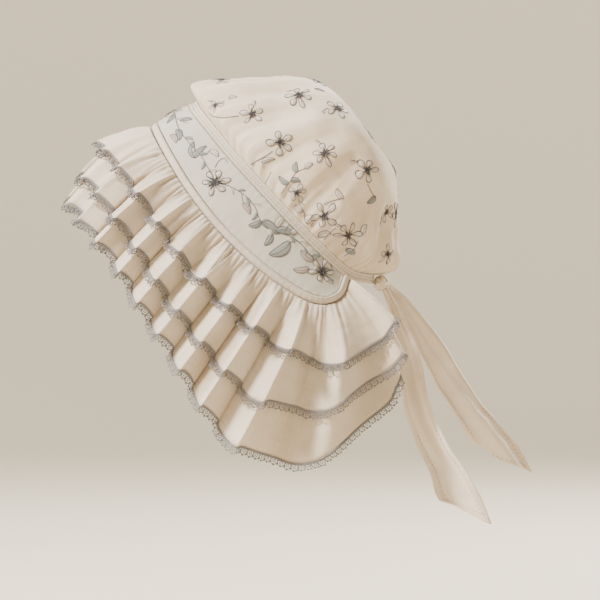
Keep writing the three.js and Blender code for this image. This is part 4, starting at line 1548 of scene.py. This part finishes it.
# Flowers over the top and the back, which the side view hides: turn in degrees, share to the back
middleFlowers = [
    (4, 0.22, 0.9, 20, 5), (352, 0.42, 1.0, 70, 5), (10, 0.6, 0.95, 130, 6), (345, 0.76, 1.0, 10, 5),
    (30, 0.9, 0.9, 50, 5), (170, 0.92, 1.0, 100, 5), (195, 0.72, 0.95, 160, 6), (160, 0.52, 1.0, 40, 5),
    (188, 0.34, 0.85, 210, 5), (262, 0.9, 0.9, 75, 5),
]
embroideryThreads = [satinThread, outlineThread, darkThread, leafThread, roseThread]
crownWork = Needlework(embroideryThreads)
crownGround = Ground(
    crownPoint, np.radians(np.arange(-40, 401, 0.4)), np.linspace(0.0, 0.99, 240), crownGrid["thickness"] / 2,
)
for order, (y, z, size, spin, petals, sprig) in enumerate(crownFlowers):
    u, v = crownGround.seenAt(y, z)
    u = abs(u)
    for mirror in (1, -1):
        turned = spin if mirror > 0 else spin * 1.7 + 33
        side = u if mirror > 0 else fullTurn - u
        place = crownGround.laid(side, v, turned, size)
        crownWork.addAll(flower(petals, order + 20 * (mirror > 0)), place)
        if sprig:
            upright = crownGround.laid(side, v, 180, 1)
            reach = np.linspace(10, 42, 22)
            crownWork.addAll(stem([(r, 5 * math.sin(r / 11) * mirror) for r in reach]), upright)
            sprigLeaf = leaf(8, 3.6, 0.7 * mirror, (22, 5 * math.sin(2.0) * mirror), satinThread)
            crownWork.addAll(sprigLeaf, upright)
        else:
            curl = crownGround.laid(side, v, turned * 2 + 40, size)
            reach = np.linspace(9.5, 16.5, 8)
            crownWork.addAll(stem([(r, 0.07 * (r - 10) ** 2 * mirror) for r in reach]), curl)
            crownWork.addAll(leaf(5.5, 2.8, 0.9 * mirror, (13, 0.6 * mirror), satinThread), curl)
colours = {"satin": satinThread, "leaf": leafThread, "rose": roseThread}


def sewLeaves(work, ground, leaves, sides):
    for y, z, towardsY, towardsZ, length, width, colour in leaves:
        u, v = ground.seenAt(y, z)
        for mirror in sides:
            spin = ground.spinTowards(mirror * u, v, np.array([0, towardsY, towardsZ]))
            forms = leaf(length, width, 0, thread=colours[colour], rimmed=True)
            work.addAll(forms, ground.laid(mirror * u, v, spin, 1))


def sewStem(work, ground, line, radius):
    # A couched thread through places on the cloth
    line = np.asarray(line, dtype=float)
    steps = np.arange(len(line))
    t = np.linspace(0, len(line) - 1, 8 * len(line))
    path = table("step u v", *zip(steps, line[:, 0], line[:, 1]))
    middle, out = ground.at(valueAt(path, "u", t, True), valueAt(path, "v", t, True))
    middle = middle + out * (ground.half + 0.2)
    side = crossed(out, unit(np.gradient(middle, axis=0)))
    turn = np.arange(5) / 5 * fullTurn
    tube = middle[:, None] + side[:, None] * (radius * np.cos(turn))[None, :, None]
    tube = tube + out[:, None] * (radius * np.sin(turn))[None, :, None]
    faces = [tuple(q) for q in gridFaces(len(t), 5, ring=True)]
    faces += [tuple(range(5)), tuple(len(t) * 5 - 5 + k for k in reversed(range(5)))]
    work.add(tube.reshape(-1, 3), faces, outlineThread)
    return path


sewLeaves(crownWork, crownGround, crownLeaves, (1, -1))
for line in crownStems:
    places = [crownGround.seenAt(y, z) for y, z in line]
    for mirror in (1, -1):
        sewStem(crownWork, crownGround, [(mirror * u, v) for u, v in places], 0.36)
for order, (turn, share, size, spin, petals) in enumerate(middleFlowers):
    place = crownGround.laid(math.radians(turn), share, spin, size)
    crownWork.addAll(flower(petals, order + 60), place)
finishPiece(outward(crownWork.make("crown_flowers")), "muslin")


# The band's garland: a winding stem with leaves, and flowers about where the drawing shows them

bandFlowers = [(18.2, -68.6, 1.15, 20, 6), (119.3, -154.0, 1.1, 60, 6)]
garland = {"leafEvery": 0.62, "leaf": 8.5, "thread": 0.42}
garlandLine = [
    (-22, -2), (-17, -17), (-7, -31), (4, -43), (12, -56), (18, -68), (32, -73), (46, -81), (56, -92),
    (62, -106), (74, -115), (91, -121), (102, -130), (111, -142), (120, -154), (131, -163),
]
bandLeaves = [
    (-23.5, -1.0, 0.2, -1.0, 16, 6.5, "leaf"),
    (-19.5, -17.0, 0.35, -1.0, 15, 6.0, "leaf"),
    (-16.0, -8.0, 0.9, -0.45, 12, 5.0, "leaf"),
    (-25.0, -22.0, 0.5, -0.85, 13, 5.0, "rose"),
    (-2.0, -45.0, -0.15, 1.0, 19, 6.5, "leaf"),
    (-2.0, -45.0, 0.6, 0.8, 16, 6.0, "leaf"),
    (13.0, -38.0, 0.7, -0.7, 11, 5.0, "satin"),
    (45.0, -89.0, 0.5, -0.85, 12, 5.5, "rose"),
    (62.0, -106.0, -0.95, -0.35, 13, 6.0, "leaf"),
    (63.0, -107.0, 0.8, -0.6, 19, 7.5, "leaf"),
    (74.0, -115.0, 0.97, -0.2, 20, 6.5, "leaf"),
    (77.0, -112.0, 0.6, 0.8, 14, 6.0, "satin"),
    (91.0, -119.0, 0.75, 0.6, 11, 5.0, "satin"),
    (89.0, -126.0, -0.85, -0.5, 26, 10.0, "leaf"),
    (72.0, -118.0, -0.6, -0.8, 14, 6.0, "leaf"),
    (112.0, -143.0, -0.85, 0.5, 18, 7.0, "rose"),
    (107.0, -151.0, -0.95, -0.1, 16, 6.0, "rose"),
    (130.0, -146.0, 0.7, 0.7, 9, 4.5, "leaf"),
]
bandStems = [
    [(-20, -6), (-16, -8), (-9, -11)],
    [(4, -43), (9, -42), (13, -38)],
    [(43, -79), (44, -84), (45, -89)],
    [(18, -55), (22, -48), (27, -46), (30, -50)],
    [(84, -119), (88, -110), (96, -107), (99, -112)],
    [(96, -125), (92, -125), (88, -127)],
    [(80, -118), (76, -118), (72, -118)],
    [(111, -142), (116, -141), (119, -136), (117, -131)],
    [(124, -157), (129, -152), (130, -146)],
]
bandWork = Needlework(embroideryThreads)


def bandOutside(u, v):
    # The band counted from the wearer's left to the right, so that its outside faces up
    return bandCloth(-u, v)


bandGround = Ground(bandOutside, np.linspace(-1, 1, 900), np.linspace(0, 1, 90), bandLook["thickness"] / 2)
seen = [bandGround.seenAt(y, z) for y, z in garlandLine]
for mirror in (1, -1):
    line = [(0, 0.5), (seen[0][0] * mirror * 0.5, 0.42)] + [(u * mirror, v) for u, v in seen]
    path = sewStem(bandWork, bandGround, line, garland["thread"])
    for order, step in enumerate(np.arange(0.5, len(line) - 1.2, garland["leafEvery"])):
        steps = np.array([step, step + 0.1])
        u, v = valueAt(path, "u", steps, True), valueAt(path, "v", steps, True)
        ends, _ = bandGround.at(u, v)
        lean = (0.75 if order % 2 else -0.8) + 0.2 * math.sin(order * 2.3)
        spin = bandGround.spinTowards(u[0], v[0], ends[1] - ends[0])
        length = garland["leaf"] * (0.85 + 0.3 * math.sin(order * 1.7) ** 2)
        forms = leaf(length, length * 0.45, lean * mirror, thread=leafThread if order % 3 else satinThread)
        bandWork.addAll(forms, bandGround.laid(u[0], v[0], spin, 1))
    for order, (y, z, size, spin, petals) in enumerate(bandFlowers):
        u, v = bandGround.seenAt(y, z)
        bandWork.addAll(flower(petals, order + 5, 1.45), bandGround.laid(u * mirror, v, spin, size))
sewLeaves(bandWork, bandGround, bandLeaves, (1, -1))
for line in bandStems:
    places = [bandGround.seenAt(y, z) for y, z in line]
    for mirror in (1, -1):
        sewStem(bandWork, bandGround, [(mirror * u, v) for u, v in places], 0.32)
bandWork.addAll(flower(6, 9, 1.3), bandGround.laid(0, 0.5, 0, 1))
finishPiece(outward(bandWork.make("band_flowers")), "band_cloth")


# Ties: soft hemmed ribbons of muslin, gathered into the knot

tieLook = {
    "along": 150, "across": 26, "length": 245, "cloth": 0.5,
    "hem": 1.2, "hemWidth": 4.2, "hemStart": 0.06, "endHem": 4,
    "wave": 0.10, "smallWave": 0.035, "pleat": 0.08, "pleats": 3.2, "pleatReach": 0.2, "cup": 0.05,
    "rumple": 0.5, "rumpleSize": 26, "rumpleSeed": 4,
}
# Strengths of the painted shade on the ties
tieShade = {
    "root": 0.15, "rootReach": 0.25, "pleat": 0.9, "pleatReach": 0.14,
    "hem": 0.7, "hemReach": 1.1, "wave": 0.2,
}
for name, phase, curl in (("left", 0.4, 1.0), ("right", 2.3, -1.0)):
    rows = tieRows[name]
    at, share = np.meshgrid(np.linspace(0, 1, tieLook["along"] + 1), np.linspace(0, 1, tieLook["across"] + 1))
    flat = tiePoint(rows, at, share)
    near = 0.003
    length = tiePoint(rows, np.minimum(at + near, 1), share) - tiePoint(rows, np.maximum(at - near, 0), share)
    width = tiePoint(rows, at, share + near) - tiePoint(rows, at, share - near)
    normal = crossed(length, width)
    size = valueAt(rows, "width", at)
    loose = smoothstep(at, 0.02, 0.5)
    broad = np.sin(fullTurn * (0.85 * share + 0.5 * at) + phase)
    wave = tieLook["wave"] * size * broad * loose
    wave = wave + tieLook["smallWave"] * size * np.sin(fullTurn * (2.1 * share - 0.8 * at) + phase * 2)
    gather = np.abs(np.cos(math.pi * tieLook["pleats"] * share + phase)) ** 0.5 * 2 - 1.4
    pleats = tieLook["pleat"] * size * gather * np.exp(-at / tieLook["pleatReach"])
    cupped = curl * tieLook["cup"] * size * (2 * share - 1) ** 2 * smoothstep(at, 0.6, 1)
    rumple = tieLook["rumple"] * softNoise(flat, tieLook["rumpleSize"], tieLook["rumpleSeed"])
    grid = flat + scaled(normal, wave + pleats + cupped) + scaled(normal, rumple)
    fromSide = np.minimum(share, 1 - share) * size
    fromEnd = (1 - at) * tieLook["length"]
    fromEdge = np.minimum(fromSide, fromEnd)
    hemmed = at > tieLook["hemStart"]
    hem = (fromEdge < tieLook["hemWidth"]) & hemmed
    thick = np.where(hem, tieLook["hem"], tieLook["cloth"])
    shade = tieShade
    # Painted shade: darker near the knot, in the gathers' valleys, along the hem's edge and in the broad
    # wave's troughs
    tieFoldShade = shade["root"] * np.exp(-at / shade["rootReach"])
    tieFoldShade = tieFoldShade + shade["pleat"] * np.clip(-gather, 0, 1) * np.exp(-at / shade["pleatReach"])
    fromHem = (fromEdge - tieLook["hemWidth"]) / shade["hemReach"]
    tieFoldShade = tieFoldShade + shade["hem"] * np.exp(-fromHem**2) * hemmed + shade["wave"] * np.clip(-broad, 0, 1)
    tie = shell("tie_" + name + "_cloth", grid, thick, [tieMuslinPaintedLighter], fold=tieFoldShade)
    finishPiece(tie, "tie_cloth", "tie_" + name)
    inset = int(round(tieLook["across"] * 0.11))
    stitchHeight = tieLook["cloth"] / 2 + stitchLook["lift"]
    lines = []
    for row in (inset, tieLook["across"] - inset):
        line = grid[row, 14:-4]
        acrossWay = unit(grid[row + 1, 14:-4] - grid[row - 1, 14:-4])
        out = crossed(np.gradient(line, axis=0), acrossWay)
        lines.append((line + out * stitchHeight, out, acrossWay))
        lines.append((line - out * stitchHeight, -out, acrossWay))
    column = -1 - tieLook["endHem"]
    line = grid[2:-2, column]
    acrossWay = unit(grid[2:-2, column + 1] - grid[2:-2, column - 1])
    out = crossed(np.gradient(line, axis=0), acrossWay)
    for face in (1, -1):
        lines.append((line + out * face * stitchHeight, out * face, acrossWay))
    finishPiece(stitches("tie_" + name + "_stitches", lines, stitchLook["tiePitch"]), "tie_cloth")


# Knot: two bunched lobes and the turn of cloth that binds them

knotLook = {
    "around": 84, "over": 40, "pleats": 7, "pleatDepth": 0.12,
    "wrapWidth": 6.5, "wrapFolds": 5, "wrapSteps": 60, "wrapSides": 18,
    "drop": 1.9,  # keeps the knot clear of the crown above it
}
ball, faces = ballMesh(knotLook["around"], knotLook["over"])
turn = np.arctan2(ball[:, 2], ball[:, 1])
waist = 1 - 0.2 * np.exp(-(ball[:, 0] / 0.38) ** 2)
twist = turn + 0.5 * np.sin(turn + 1) + 0.28 * np.sin(2 * turn + 2)
bunch = np.sin(knotLook["pleats"] * twist + 5 * ball[:, 0] + 1.2 * np.sin(3 * ball[:, 0]))
bunch = 1 - 1.6 * np.abs(bunch) ** 1.6 * (bunch < 0) + 0.15 * np.maximum(bunch, 0)
pleat = 1 + knotLook["pleatDepth"] * (bunch - 1) + 0.03 * np.sin(17 * turn - 5 * ball[:, 0])
# Painted shade: darker in the valleys of the bunched lobes and in the troughs between the wrap's ridges
knotFoldShade = [np.clip(0.9 - bunch, 0, 1)]
lobes = ball * [knot["halfWidth"], knot["halfDepth"] * 0.96, knot["halfHeight"] * 0.96]
lobes[:, 1:] *= (waist * pleat)[:, None]
knotWork = Needlework([tieMuslinPaintedLighter])
knotCentre = np.array([0, knot["y"], knot["z"] - knotLook["drop"]])
knotWork.add(lobes + knotCentre, faces, tieMuslinPaintedLighter)
wrapSteps, wrapSides = knotLook["wrapSteps"], knotLook["wrapSides"]
t = np.linspace(0, fullTurn, wrapSteps + 1)[:-1]
wrapLine = np.stack([
    0.9 * np.sin(t * 2 + 0.6),
    np.cos(t) * knot["halfDepth"] * 0.86,
    np.sin(t) * knot["halfHeight"] * 0.88,
], axis=-1)
wrapPoints = []
s = np.arange(wrapSides) / wrapSides * fullTurn
for i, centre in enumerate(wrapLine):
    radial = unit(np.array([0, centre[1] / knot["halfDepth"] ** 2, centre[2] / knot["halfHeight"] ** 2]))
    ridge = np.sin(knotLook["wrapFolds"] * s + 0.8 * math.sin(3 * t[i]))
    bulge = 1.05 + 0.22 * ridge
    knotFoldShade.append(0.8 * np.clip(-ridge, 0, 1))
    ring = centre + np.outer(np.cos(s) * knotLook["wrapWidth"] / 2, [1, 0, 0])
    wrapPoints.append(ring + np.outer(np.sin(s) * bulge, radial))
wrap = np.array(wrapPoints)
wrapCount = wrapSteps * wrapSides
wrapFaces = gridFaces(wrapSteps + 1, wrapSides, ring=True)
wrapFaces = np.where(wrapFaces >= wrapCount, wrapFaces - wrapCount, wrapFaces)
knotWork.add(wrap.reshape(-1, 3) + knotCentre, [tuple(f) for f in wrapFaces], tieMuslinPaintedLighter)
knotPiece = knotWork.make("knot_cloth")
setFoldShade(knotPiece, np.concatenate(knotFoldShade))
finishPiece(outward(knotPiece), "tie_cloth", "tie_knot")


# What is cloth, with a flat width and length in metres. Depths and the ties' lengths are about the
# drawing's. The other sizes were chosen so that the areas agree with the cloth as it is modelled
# here, and the crown's are less than the paths over it, so these are not sizes to cut by.

sheets = {
    # flat width and length, share of that rectangle, how it is held, what holds it, what is sewn on
    "crown_cloth": ((0.36, 0.32), 0.85, "gathered", ["crown_casing"], ["crown_flowers"]),
    "band_cloth": ((0.47, 0.075), 0.66, "stretched", ["crown_casing", "front_binding"], ["band_flowers"]),
    "ruffle_top_cloth": ((0.052, 0.95), 1, "gathered", ["front_binding"], ["lace_top_loops"]),
    "ruffle_middle_cloth": ((0.088, 1.05), 1, "gathered", ["front_binding"], ["lace_middle_loops"]),
    "ruffle_bottom_cloth": ((0.12, 1.10), 1, "gathered", ["front_binding"], ["lace_bottom_loops"]),
    "tie_left_cloth": ((0.036, 0.245), 0.94, "hung", ["tie_knot"], ["tie_left_stitches"]),
    "tie_right_cloth": ((0.036, 0.245), 0.86, "hung", ["tie_knot"], ["tie_right_stitches"]),
}
for name, (flat, share, held, holders, sewn) in sheets.items():
    sewn = [bpy.data.objects[other] for other in sewn]
